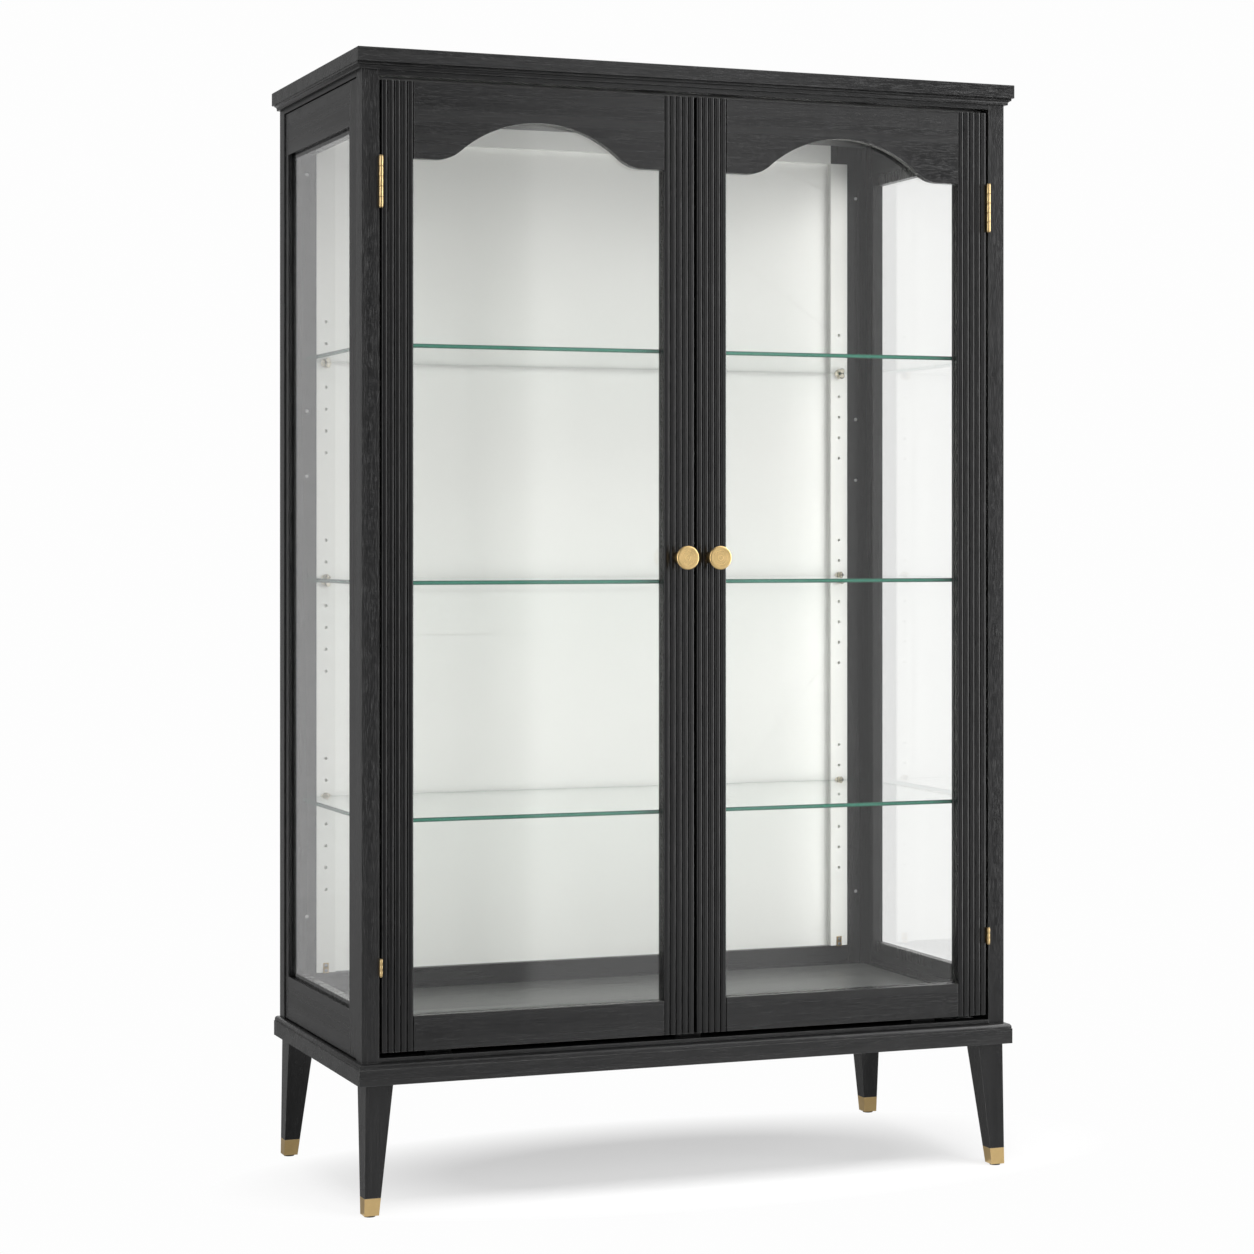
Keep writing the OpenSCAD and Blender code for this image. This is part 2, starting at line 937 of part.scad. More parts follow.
// One hinge half: owner 0 is the frame's, 1 the door's; h is one entry of HINGES
module hinge_half(h, owner) {
    step = h[1] / h[2];
    x0 = owner == 0 ? in_x - leaf_t : door_out_x;
    difference() {
        union() {
            block([x0, leaf_y, h[0]], [x0 + leaf_t, leaf_y + leaf_d, h[0] + h[1]]);
            for (i = [owner:2:h[2] - 1])
                translate([0, 0, h[0] + i * step + knuckle_gap / 2]) {
                    translate([hinge_x, hinge_y, 0])
                        cylinder(r = h[4], h = step - knuckle_gap);
                    block([x0, hinge_y, 0], [x0 + leaf_t, leaf_y + eps, step - knuckle_gap]);
                }
        }
        translate([hinge_x, hinge_y, h[0] - 1])
            cylinder(r = pin_r + fit, h = h[1] + 2);
        for (z = screw_levels(h))
            translate([owner == 0 ? in_x - leaf_t : door_out_x + leaf_t, leaf_y + leaf_d / 2, z])
                rotate([0, owner == 0 ? 90 : -90, 0])
                    translate([0, 0, -eps])
                        cylinder(r1 = hinge_screw_head_r + 0.1, r2 = hinge_screw_r + 0.1,
                                 h = leaf_t + 2 * eps);
    }
}

module hinge_frame_leaves() {
    color(brass)
        for (side = [-1, 1])
            on_side(side)
                for (h = HINGES)
                    hinge_half(h, 0);
}

module hinge_pins() {
    color(brass)
        for (side = [-1, 1])
            on_side(side)
                for (h = HINGES)
                    translate([hinge_x, hinge_y, h[0]]) {
                        cylinder(r = pin_r, h = h[1]);
                        for (z = [-pin_cap_h, h[1]])
                            translate([0, 0, z])
                                cylinder(r = h[4] - 0.4, h = pin_cap_h);
                    }
}

// ---- Doors ----

// Plan of a reeded stile w wide and door_t thick; X runs from the glass edge outwards
module stile_section() {
    pitch = stile_w / reed_count;
    difference() {
        square([stile_w, door_t]);
        for (i = [1:reed_count - 1])
            translate([i * pitch, 0])
                polygon([[-groove_w / 2, -eps], [groove_w / 2, -eps], [0, groove_d]]);
        translate([-eps, pane_in])
            square([rebate_w + eps, door_t - pane_in + eps]);
    }
}

module stile_bar() {
    translate([0, body_front_y, door_low_z])
        linear_extrude(door_h)
            stile_section();
}

module door_hinge_stile(side) {
    color(wood)
        on_side(side)
            difference() {
                translate([open_out_x, 0, 0])
                    stile_bar();
                hinge_screw_rods(-1, fit);
            }
}

module door_meeting_stile(side) {
    color(wood)
        on_side(side)
            difference() {
                translate([open_in_x, 0, 0])
                    mirror([1, 0, 0])
                        stile_bar();
                knob_bolt(fit);
            }
}

// Points of an arc from angle a0 to angle a1 about a centre
function arc(centre, r, a0, a1, steps) = [
    for (i = [0:steps]) centre + r * [cos(a0 + (a1 - a0) * i / steps), sin(a0 + (a1 - a0) * i / steps)]
];

// Face of the top rail: X about the middle of the door, Y above the foot of the arch
module top_rail_face() {
    half = open_w / 2;
    polygon(concat(
        [[half, 0], [half, door_top_rail_h], [-half, door_top_rail_h], [-half, 0]],
        [for (i = [0:arch_last]) [-half_arch[arch_last - i][0], half_arch[arch_last - i][1]]],
        [for (i = [1:arch_last]) half_arch[i]]
    ));
}

module door_top_rail(side) {
    color(wood)
        on_side(side)
            difference() {
                translate([open_mid_x, body_front_y + door_t, arch_low_z])
                    rotate([90, 0, 0])
                        linear_extrude(door_t)
                            top_rail_face();
                block([open_in_x - 1, pane_front_y, arch_low_z - 1],
                      [open_out_x + 1, door_back_y + 1, pane_high_z]);
            }
}

module door_bottom_rail(side) {
    color(wood)
        on_side(side)
            difference() {
                block([open_in_x, body_front_y, door_low_z], [open_out_x, door_back_y, open_low_z]);
                block([open_in_x - 1, pane_front_y, open_low_z - rebate_w],
                      [open_out_x + 1, door_back_y + 1, open_low_z + 1]);
            }
}

module door_glass(side) {
    grow = rebate_w - pane_slack;
    color(glass)
        on_side(side)
            block([open_in_x - grow, pane_front_y, open_low_z - grow],
                  [open_out_x + grow, pane_front_y + pane_t, pane_high_z - pane_slack]);
}

module door_beads(side) {
    x0 = open_in_x - rebate_w + fit;
    x1 = open_out_x + rebate_w - fit;
    z0 = open_low_z - rebate_w + fit;
    z1 = pane_high_z - fit;
    y0 = pane_front_y + pane_t;
    color(wood)
        on_side(side) {
            for (x = [x0, x1 - rebate_w])
                block([x, y0, z0], [x + rebate_w, door_back_y, z1]);
            for (z = [z0, z1 - rebate_w])
                block([x0 + rebate_w + fit, y0, z], [x1 - rebate_w - fit, door_back_y, z + rebate_w]);
        }
}

// Bolt from behind the stile into the knob
module knob_bolt(gap) {
    rod_y([knob_x, body_front_y - knob_bolt_in, knob_z], knob_bolt_r + gap, door_t + knob_bolt_in + eps);
}

// Turned knob: a round foot, a neck that flares like a cone, and a flat disc with a soft rim
module door_knob(side) {
    r = knob_d / 2;
    color(brass)
        on_side(side)
            difference() {
                translate([knob_x, body_front_y, knob_z])
                    rotate([90, 0, 0])
                        rotate_extrude()
                            polygon([
                                [0, 0],
                                [knob_foot_r, 0],
                                [knob_foot_r, knob_out * 0.1],
                                [knob_neck_r, knob_out * 0.22],
                                [knob_neck_r + 0.5, knob_out * 0.4],
                                [r * 0.62, knob_out - knob_rim - 4],
                                [r - 1, knob_out - knob_rim],
                                [r, knob_out - knob_rim + 1.5],
                                [r, knob_out - 2],
                                [r - 0.6, knob_out - 0.7],
                                [r - 1.8, knob_out],
                                [0, knob_out]
                            ]);
                knob_bolt(fit);
            }
}

module door_hinge_leaves(side) {
    color(brass)
        on_side(side)
            for (h = HINGES)
                hinge_half(h, 1);
}

// Hinge screws, knob bolt and the strike plate's screw and plate on the back of the door
module door_screws(side) {
    color(brass)
        on_side(side) {
            hinge_screws(-1);
            knob_bolt(0);
            rod_y([knob_x, door_back_y, knob_z], knob_bolt_head_r, knob_bolt_head_h);
            block([catch_x - strike_w / 2, door_back_y, door_high_z - 1 - strike_h],
                  [catch_x + strike_w / 2, door_back_y + strike_t, door_high_z - 1]);
        }
}

module left_door_hinge_stile() {
    door_hinge_stile(-1);
}

module left_door_meeting_stile() {
    door_meeting_stile(-1);
}

module left_door_top_rail() {
    door_top_rail(-1);
}

module left_door_bottom_rail() {
    door_bottom_rail(-1);
}

module left_door_glass() {
    door_glass(-1);
}

module left_door_beads() {
    door_beads(-1);
}

module left_door_knob() {
    door_knob(-1);
}

module left_door_hinge_leaves() {
    door_hinge_leaves(-1);
}

module left_door_screws() {
    door_screws(-1);
}

module right_door_hinge_stile() {
    door_hinge_stile(1);
}

module right_door_meeting_stile() {
    door_meeting_stile(1);
}

module right_door_top_rail() {
    door_top_rail(1);
}

module right_door_bottom_rail() {
    door_bottom_rail(1);
}

module right_door_glass() {
    door_glass(1);
}

module right_door_beads() {
    door_beads(1);
}

module right_door_knob() {
    door_knob(1);
}

module right_door_hinge_leaves() {
    door_hinge_leaves(1);
}

module right_door_screws() {
    door_screws(1);
}

top_board();
cornice_front();
cornice_left();
cornice_right();
ceiling_board();
front_left_post();
front_right_post();
rear_left_post();
rear_right_post();
front_top_rail();
front_bottom_rail();
side_top_strips();
side_stiles();
side_top_rails();
side_bottom_rails();
left_side_glass();
right_side_glass();
side_glass_beads();
back_panel();
back_corner_strips();
back_stiles();
back_top_rail();
back_bottom_rail();
floor_board();
floor_bearers();
base_board();
front_left_leg();
front_right_leg();
rear_left_leg();
rear_right_leg();
leg_ferrules();
leg_glides();
leg_bolts();
lower_shelf();
middle_shelf();
upper_shelf();
shelf_supports();
door_catches();
joint_plates();
case_screws();
hinge_frame_leaves();
hinge_pins();
left_door_hinge_stile();
left_door_meeting_stile();
left_door_top_rail();
left_door_bottom_rail();
left_door_glass();
left_door_beads();
left_door_knob();
left_door_hinge_leaves();
left_door_screws();
right_door_hinge_stile();
right_door_meeting_stile();
right_door_top_rail();
right_door_bottom_rail();
right_door_glass();
right_door_beads();
right_door_knob();
right_door_hinge_leaves();
right_door_screws();
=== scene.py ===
import json
import logging
import math
from collections.abc import Iterable, Sequence
from dataclasses import dataclass, field
from enum import Enum

import bmesh
import bpy
from bpy.types import ID, Material, Mesh, Node, NodeSocket, NodeTree, Object
from mathutils import Matrix, Vector

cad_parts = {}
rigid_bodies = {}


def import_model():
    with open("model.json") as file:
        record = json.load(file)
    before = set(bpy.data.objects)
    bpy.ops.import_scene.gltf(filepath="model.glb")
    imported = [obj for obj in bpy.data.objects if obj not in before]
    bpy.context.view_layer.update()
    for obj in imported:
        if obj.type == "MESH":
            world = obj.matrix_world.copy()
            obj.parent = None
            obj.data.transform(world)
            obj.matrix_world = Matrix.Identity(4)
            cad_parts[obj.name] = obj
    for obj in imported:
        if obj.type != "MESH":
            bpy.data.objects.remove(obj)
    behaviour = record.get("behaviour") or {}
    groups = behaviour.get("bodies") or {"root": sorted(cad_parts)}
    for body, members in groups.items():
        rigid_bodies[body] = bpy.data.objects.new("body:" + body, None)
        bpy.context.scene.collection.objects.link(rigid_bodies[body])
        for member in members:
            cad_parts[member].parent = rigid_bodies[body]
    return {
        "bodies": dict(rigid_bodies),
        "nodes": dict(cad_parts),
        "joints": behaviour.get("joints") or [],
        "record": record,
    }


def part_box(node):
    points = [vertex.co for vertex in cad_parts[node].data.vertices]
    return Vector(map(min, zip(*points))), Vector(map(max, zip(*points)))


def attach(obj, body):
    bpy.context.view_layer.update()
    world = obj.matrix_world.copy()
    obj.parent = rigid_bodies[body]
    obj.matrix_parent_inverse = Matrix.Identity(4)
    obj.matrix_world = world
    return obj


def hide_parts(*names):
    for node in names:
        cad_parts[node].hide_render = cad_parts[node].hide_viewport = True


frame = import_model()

"""Looks of a glazed display showcase: dark stained timber, arched glass doors with reeded
stiles, a white back, glass shelves and brass fittings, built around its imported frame.
Lengths are in metres. +X is to the right, the doors face -Y, +Z is up."""

LOG = logging.getLogger("showcase")
MM = 0.001
SAME_POINT = 1e-6
WHITE = (1.0, 1.0, 1.0)
UP = Vector((0, 0, 1))
THIN_EASE = 0.5 * MM
GLASS_EASE = 0.4 * MM
PLATE_EASE = 0.3 * MM
HINGE_EASE = 0.15 * MM
PLAY = 0.1 * MM
Colour = Point = tuple[float, float, float]
Pair = tuple[float, float]
Box = tuple[Vector, Vector]
Value = float | int | bool | str | Sequence[float] | NodeSocket | Material | NodeTree | Object


class Side(Enum):
    """The two sides of the case, as the sign of X."""

    LEFT = -1
    RIGHT = 1

    @property
    def word(self) -> str:
        """The side's name in node names."""
        return self.name.lower()


class Grain(Enum):
    """The axis that the grain of a board runs along."""

    X = 0
    Y = 1
    Z = 2


# ---- Node trees ----


class Sheet:
    """Adds and links the nodes of one node tree."""

    def __init__(self, tree: NodeTree) -> None:
        """Keeps the tree to work on."""
        self.tree = tree

    def add(self, kind: str, inputs: dict[str | int, Value] | None = None, **settings: Value) -> Node:
        """Adds a node.

        Args:
            kind: The node's type name.
            inputs: A value or a socket to link, for each input's name or index.
            settings: The node's own properties.

        Returns:
            The new node.
        """
        node = self.tree.nodes.new(kind)
        for key, value in settings.items():
            setattr(node, key, value)
        for key, value in (inputs or {}).items():
            if isinstance(value, NodeSocket):
                self.tree.links.new(value, node.inputs[key])
            else:
                node.inputs[key].default_value = value
        return node

    def math(self, operation: str, *values: Value) -> NodeSocket:
        """The result of a Math node on some values."""
        return self.add("ShaderNodeMath", dict(enumerate(values)), operation=operation).outputs[0]

    def product(self, *values: Value) -> NodeSocket:
        """The product of two values."""
        return self.math("MULTIPLY", *values)

    def remap(self, value: Value, low: Value, high: Value, to_low: Value, to_high: Value) -> NodeSocket:
        """A value from the range low to high, clamped and mapped to the range to_low to to_high."""
        return self.add("ShaderNodeMapRange", {0: value, 1: low, 2: high, 3: to_low, 4: to_high}).outputs[0]

    def between(self, share: Value, ends: Pair) -> NodeSocket:
        """The value that lies the given share of the way between two ends."""
        return self.remap(share, 0.0, 1.0, *ends)

    def mix(self, share: Value, *colours: Colour | NodeSocket) -> NodeSocket:
        """Mixes two colours, with the given share of the second."""
        first, second = ((*colour, 1.0) if isinstance(colour, tuple) else colour for colour in colours)
        return self.add("ShaderNodeMix", {0: share, 6: first, 7: second}, data_type="RGBA").outputs[2]

    def here(self) -> NodeSocket:
        """The place on the object."""
        return self.add("ShaderNodeTexCoord").outputs["Object"]

    def split(self, vector: NodeSocket) -> Sequence[NodeSocket]:
        """The X, Y and Z of a vector."""
        return self.add("ShaderNodeSeparateXYZ", {0: vector}).outputs

    def vector(self, **parts: Value) -> NodeSocket:
        """A vector from some of its parts x, y and z."""
        inputs = {"xyz".index(key): part for key, part in parts.items()}
        return self.add("ShaderNodeCombineXYZ", inputs).outputs[0]

    def noise(self, place: Value, scale: Value, detail: float, rough: float = 0.5) -> NodeSocket:
        """The level of a noise."""
        inputs = {"Vector": place, "Scale": scale, "Detail": detail, "Roughness": rough}
        return self.add("ShaderNodeTexNoise", inputs).outputs[0]

    def effect(self, name: str, **inputs: Value) -> dict[str, NodeSocket]:
        """The outputs of a shared effect, with some of its inputs set."""
        return self.add("ShaderNodeGroup", inputs, node_tree=bpy.data.node_groups[name]).outputs

    def bump(self, height: NodeSocket, distance: float, strength: float) -> NodeSocket:
        """A normal for a height."""
        inputs = {"Height": height, "Distance": distance, "Strength": strength}
        return self.add("ShaderNodeBump", inputs).outputs[0]

    def skin(self, inputs: dict[str, Value]) -> NodeSocket:
        """A Principled surface."""
        return self.add("ShaderNodeBsdfPrincipled", inputs).outputs[0]

    def blend(self, share: NodeSocket, first: NodeSocket, second: NodeSocket) -> NodeSocket:
        """Two shaders, with the given share of the second."""
        return self.add("ShaderNodeMixShader", {0: share, 1: first, 2: second}).outputs[0]

    def rays(self, *kinds: str) -> NodeSocket:
        """Tells some kinds of ray from the others.

        Args:
            kinds: Their names, as the Light Path node has them.

        Returns:
            A socket that is one for those rays, and zero for the others.
        """
        path = self.add("ShaderNodeLightPath").outputs
        found = path[f"Is {kinds[0]} Ray"]
        for kind in kinds[1:]:
            found = self.math("MAXIMUM", found, path[f"Is {kind} Ray"])
        return found


def start_tree(
    name: str, kind: str, inputs: dict[str, str | float], outputs: Iterable[str], put_out: str = "Float"
) -> tuple[Sheet, Sequence[NodeSocket]]:
    """Starts a node group.

    Args:
        name: The group's name.
        kind: Shader or Geometry.
        inputs: For each input's name a default number, or the type of any other input.
        outputs: The names of the outputs.
        put_out: The type of the outputs.

    Returns:
        The sheet to build on, and the sockets that give the inputs.
    """
    tree = bpy.data.node_groups.new(name, kind + "NodeTree")
    for socket, value in inputs.items():
        word = value if isinstance(value, str) else type(value).__name__.title()
        made = tree.interface.new_socket(socket, in_out="INPUT", socket_type="NodeSocket" + word)
        if value is not word:
            made.default_value = value
    for socket in outputs:
        tree.interface.new_socket(socket, in_out="OUTPUT", socket_type="NodeSocket" + put_out)
    sheet = Sheet(tree)
    return sheet, sheet.add("NodeGroupInput").outputs


def open_grain() -> None:
    """Builds the grain of wood: long fibres, fine pores and slow drifts of tone, each from 0 to 1."""
    inputs, outputs = {"Vector": "Vector", "Pores": 0.4}, ("Tone", "Height", "Polish")
    sheet, given = start_tree("open_grain", "Shader", inputs, outputs)
    place = given["Vector"]
    fibres = sheet.noise(place, 1.0, 4.0, 0.7)
    pores = sheet.noise(place, 3.1, 2.0, 0.7)
    drift = sheet.noise(place, 0.06, 2.0)
    fibre = sheet.remap(fibres, 0.3, 0.7, 0.0, 1.0)
    pore = sheet.remap(pores, 0.32, given["Pores"], 0.0, 1.0)
    slow = sheet.remap(drift, 0.3, 0.7, 0.0, 1.0)
    tone = sheet.math("ADD", sheet.product(fibre, 0.6), sheet.product(slow, 0.4))
    height = sheet.product(sheet.between(fibre, (0.6, 1.0)), pore)
    sheet.add("NodeGroupOutput", {"Tone": sheet.product(tone, pore), "Height": height, "Polish": slow})


def rubbed_edge() -> None:
    """Builds the mask of the outer edges of a piece: where a finish is rubbed thin, where the stained wood
    gets a painted highlight, and where the hinge brass gets painted shade.
    """
    sheet, given = start_tree("rubbed_edge", "Shader", {"Width": 0.001, "Breaks": 60.0}, ("Mask",))
    soft = sheet.add("ShaderNodeBevel", {"Radius": given["Width"]}, samples=4)
    normals = {0: soft.outputs["Normal"], 1: sheet.add("ShaderNodeNewGeometry").outputs["Normal"]}
    alike = sheet.add("ShaderNodeVectorMath", normals, operation="DOT_PRODUCT").outputs["Value"]
    edge = sheet.remap(alike, 0.995, 0.85, 0.0, 1.0)
    worn = sheet.remap(sheet.noise(sheet.here(), given["Breaks"], 3.0), 0.35, 0.6, 0.35, 1.0)
    sheet.add("NodeGroupOutput", {"Mask": sheet.product(edge, worn)})


def faint_clouding() -> None:
    """Builds the faint clouding of a surface, from 0 to 1, as handling and cleaning leave it."""
    sheet, given = start_tree("faint_clouding", "Shader", {"Scale": 8.0}, ("Cloud",))
    noise = sheet.noise(sheet.here(), given["Scale"], 3.0)
    sheet.add("NodeGroupOutput", {"Cloud": sheet.remap(noise, 0.3, 0.7, 0.0, 1.0)})


def brush_lines() -> None:
    """Builds the fine lathe or brush lines of metal, from 0 to 1."""
    sheet, given = start_tree("brush_lines", "Shader", {"Distance": 0.0, "Pitch": 0.0004}, ("Line", "Height"))
    turns = sheet.math("DIVIDE", given["Distance"], given["Pitch"])
    noise = sheet.noise(sheet.vector(x=turns), 1.0, 3.0, 0.7)
    sheet.add("NodeGroupOutput", {"Line": sheet.remap(noise, 0.3, 0.7, 0.0, 1.0), "Height": noise})


# ---- Finishes ----


@dataclass(frozen=True)
class Finish:
    """A finish, which its own class draws."""

    name: str

    def build(self) -> Material:
        """Builds the material.

        Returns:
            The material.
        """
        material = bpy.data.materials.new(self.name)
        material.use_nodes = True
        material.node_tree.nodes.clear()
        sheet = Sheet(material.node_tree)
        end = sheet.add("ShaderNodeOutputMaterial")
        sheet.tree.links.new(self.draw(sheet), end.inputs[0])
        return material

    def draw(self, sheet: Sheet) -> NodeSocket:
        """The shader of the surface, drawn on the material's sheet."""
        raise NotImplementedError(self.name)


@dataclass(frozen=True)
class StainedWood(Finish):
    """Charcoal stain and satin lacquer over open grain, pale along the edges: partly rubbed wear, partly a
    painted highlight on the arrises.
    """

    grain: Grain
    deep: Colour = (0.0020, 0.0020, 0.0023)
    light: Colour = (0.0170, 0.0170, 0.0170)
    # Pale edge colour: partly rubbed wear, partly a painted highlight on the arrises and reeds.
    rubbed: Colour = (0.085, 0.085, 0.083)
    rub_share: float = 0.85
    rub_width: float = 1.2 * MM
    rub_breaks: float = 45.0
    pores: float = 0.42
    along: float = 14.0
    across: float = 620.0
    satin: Pair = (0.20, 0.32)
    gloss: float = 0.4
    relief: float = 0.22 * MM
    relief_share: float = 0.7

    def draw(self, sheet: Sheet) -> NodeSocket:
        """The shader of the surface.

        Args:
            sheet: The material's sheet.

        Returns:
            Its socket.
        """
        stretch = [self.across] * 3
        stretch[self.grain.value] = self.along
        place = sheet.add("ShaderNodeMapping", {"Vector": sheet.here(), "Scale": stretch}).outputs[0]
        grain = sheet.effect("open_grain", Vector=place, Pores=self.pores)
        edge = sheet.effect("rubbed_edge", Width=self.rub_width, Breaks=self.rub_breaks)
        stain = sheet.mix(grain["Tone"], self.deep, self.light)
        return sheet.skin(
            {
                # The edges mix towards the pale edge colour, which is a painted highlight as well as wear.
                "Base Color": sheet.mix(sheet.product(edge["Mask"], self.rub_share), stain, self.rubbed),
                "Roughness": sheet.between(grain["Polish"], self.satin),
                "Specular IOR Level": self.gloss,
                "Normal": sheet.bump(grain["Height"], self.relief, self.relief_share),
            }
        )


@dataclass(frozen=True)
class PaintedBoard(Finish):
    """Matt off-white paint, faintly rolled."""

    body: Colour = (0.86, 0.855, 0.83)
    shade: Colour = (0.82, 0.815, 0.79)
    rough: Pair = (0.48, 0.62)
    clouds: float = 3.0
    rub_share: float = 0.35
    rub_width: float = 1.5 * MM
    rub_breaks: float = 30.0
    stipple: float = 900.0
    relief: float = 0.08 * MM
    relief_share: float = 0.5

    def draw(self, sheet: Sheet) -> NodeSocket:
        """The shader of the surface.

        Args:
            sheet: The material's sheet.

        Returns:
            Its socket.
        """
        cloud = sheet.effect("faint_clouding", Scale=self.clouds)["Cloud"]
        edge = sheet.effect("rubbed_edge", Width=self.rub_width, Breaks=self.rub_breaks)
        stipple = sheet.noise(sheet.here(), self.stipple, 2.0)
        paint = sheet.mix(cloud, self.body, self.shade)
        return sheet.skin(
            {
                "Base Color": sheet.mix(sheet.product(edge["Mask"], self.rub_share), paint, self.shade),
                "Roughness": sheet.between(cloud, self.rough),
                "Normal": sheet.bump(stipple, self.relief, self.relief_share),
            }
        )


@dataclass(frozen=True)
class Brass(Finish):
    """Satin brass with brush lines, level or, where it has a centre, round an axis along Y."""

    centre: Point | None = None
    bright: Colour = (0.82, 0.590, 0.28)
    dull: Colour = (0.62, 0.435, 0.19)
    edge: Colour = (0.76, 0.58, 0.32)
    rough: Pair = (0.27, 0.40)
    pitch: float = 0.35 * MM
    line_share: float = 0.45
    clouds: float = 60.0
    cloud_share: float = 0.35
    worn: float = 0.6 * MM
    breaks: float = 200.0
    turned: float = 0.0
    relief: float = 0.06 * MM
    relief_share: float = 0.5

    def draw(self, sheet: Sheet) -> NodeSocket:
        """The shader of the surface.

        Args:
            sheet: The material's sheet.

        Returns:
            Its socket.
        """
        around = {}
        if self.centre is None:
            distance = sheet.split(sheet.here())[2]
        else:
            away = [-value for value in self.centre]
            place = sheet.add("ShaderNodeMapping", {"Vector": sheet.here(), "Location": away}).outputs[0]
            parts = sheet.split(place)
            flat = sheet.vector(x=parts[0], y=parts[2])
            distance = sheet.add("ShaderNodeVectorMath", {0: flat}, operation="LENGTH").outputs["Value"]
            axes = {0: place, 1: (0.0, 1.0, 0.0)}
            around["Tangent"] = sheet.add("ShaderNodeVectorMath", axes, operation="CROSS_PRODUCT").outputs[0]
        lines = sheet.effect("brush_lines", Distance=distance, Pitch=self.pitch)
        cloud = sheet.effect("faint_clouding", Scale=self.clouds)["Cloud"]
        edge = sheet.effect("rubbed_edge", Width=self.worn, Breaks=self.breaks)
        tone = sheet.math(
            "ADD", sheet.product(lines["Line"], self.line_share), sheet.product(cloud, self.cloud_share)
        )
        metal = sheet.mix(tone, self.bright, self.dull)
        return sheet.skin(
            {
                # Along the masked edges the metal takes the edge colour: paler wear on most brass, painted
                # shade on the hinges.
                "Base Color": sheet.mix(edge["Mask"], metal, self.edge),
                "Metallic": 1.0,
                "Roughness": sheet.between(lines["Line"], self.rough),
                "Anisotropic": self.turned,
                "Normal": sheet.bump(lines["Height"], self.relief, self.relief_share),
                **around,
            }
        )


@dataclass(frozen=True)
class PlainSolid(Finish):
    """A clouded solid finish: moulded plastic or plated steel."""

    light: Colour
    dark: Colour
    rough: Pair
    metal: float = 0.0
    speckle: float = 300.0
    relief: float = 0.05 * MM
    relief_share: float = 0.4

    def draw(self, sheet: Sheet) -> NodeSocket:
        """The shader of the surface.

        Args:
            sheet: The material's sheet.

        Returns:
            Its socket.
        """
        cloud = sheet.effect("faint_clouding", Scale=self.speckle)["Cloud"]
        return sheet.skin(
            {
                "Base Color": sheet.mix(cloud, self.light, self.dark),
                "Metallic": self.metal,
                "Roughness": sheet.between(cloud, self.rough),
                "Normal": sheet.bump(cloud, self.relief, self.relief_share),
            }
        )


@dataclass(frozen=True)
class ClearGlass(Finish):
    """Polished float glass that lets the lamps through."""

    tint: Colour
    shade: Colour
    rough: Pair = (0.0, 0.003)
    clouds: float = 5.0
    bend: float = 1.5

    def draw(self, sheet: Sheet) -> NodeSocket:
        """The shader of the surface.

        Args:
            sheet: The material's sheet.

        Returns:
            Its socket.
        """
        cloud = sheet.effect("faint_clouding", Scale=self.clouds)["Cloud"]
        pane = sheet.skin(
            {
                "Base Color": (*self.tint, 1.0),
                "Roughness": sheet.between(cloud, self.rough),
                "IOR": self.bend,
                "Transmission Weight": 1.0,
            }
        )
        through = sheet.add("ShaderNodeBsdfTransparent", {"Color": (*self.shade, 1.0)}).outputs[0]
        return sheet.blend(sheet.rays("Shadow", "Diffuse"), pane, through)


@dataclass(frozen=True)
class GlassEdge(Finish):
    """The polished edge of float glass, greenest half way up each shelf's level."""

    levels: tuple[float, ...]
    heart: Colour = (0.022, 0.165, 0.110)
    rim: Colour = (0.004, 0.035, 0.022)
    thickness: float = 6 * MM
    clouds: float = 4.0
    cloud_share: Pair = (0.7, 1.0)
    rough: Pair = (0.08, 0.16)
    gloss: float = 0.25
    relief: float = 0.1 * MM
    relief_share: float = 0.3

    def draw(self, sheet: Sheet) -> NodeSocket:
        """The shader of the surface.

        Args:
            sheet: The material's sheet.

        Returns:
            Its socket.
        """
        height = sheet.split(sheet.here())[2]
        offs = [sheet.math("ABSOLUTE", sheet.math("SUBTRACT", height, level)) for level in self.levels]
        near = offs[0]
        for off in offs[1:]:
            near = sheet.math("MINIMUM", near, off)
        depth = sheet.remap(near, 0.0, self.thickness / 2, 1.0, 0.0)
        cloud = sheet.effect("faint_clouding", Scale=self.clouds)["Cloud"]
        glow = sheet.product(depth, sheet.between(cloud, self.cloud_share))
        return sheet.skin(
            {
                "Base Color": sheet.mix(glow, self.rim, self.heart),
                "Roughness": sheet.between(cloud, self.rough),
                "Specular IOR Level": self.gloss,
                "Normal": sheet.bump(cloud, self.relief, self.relief_share),
            }
        )


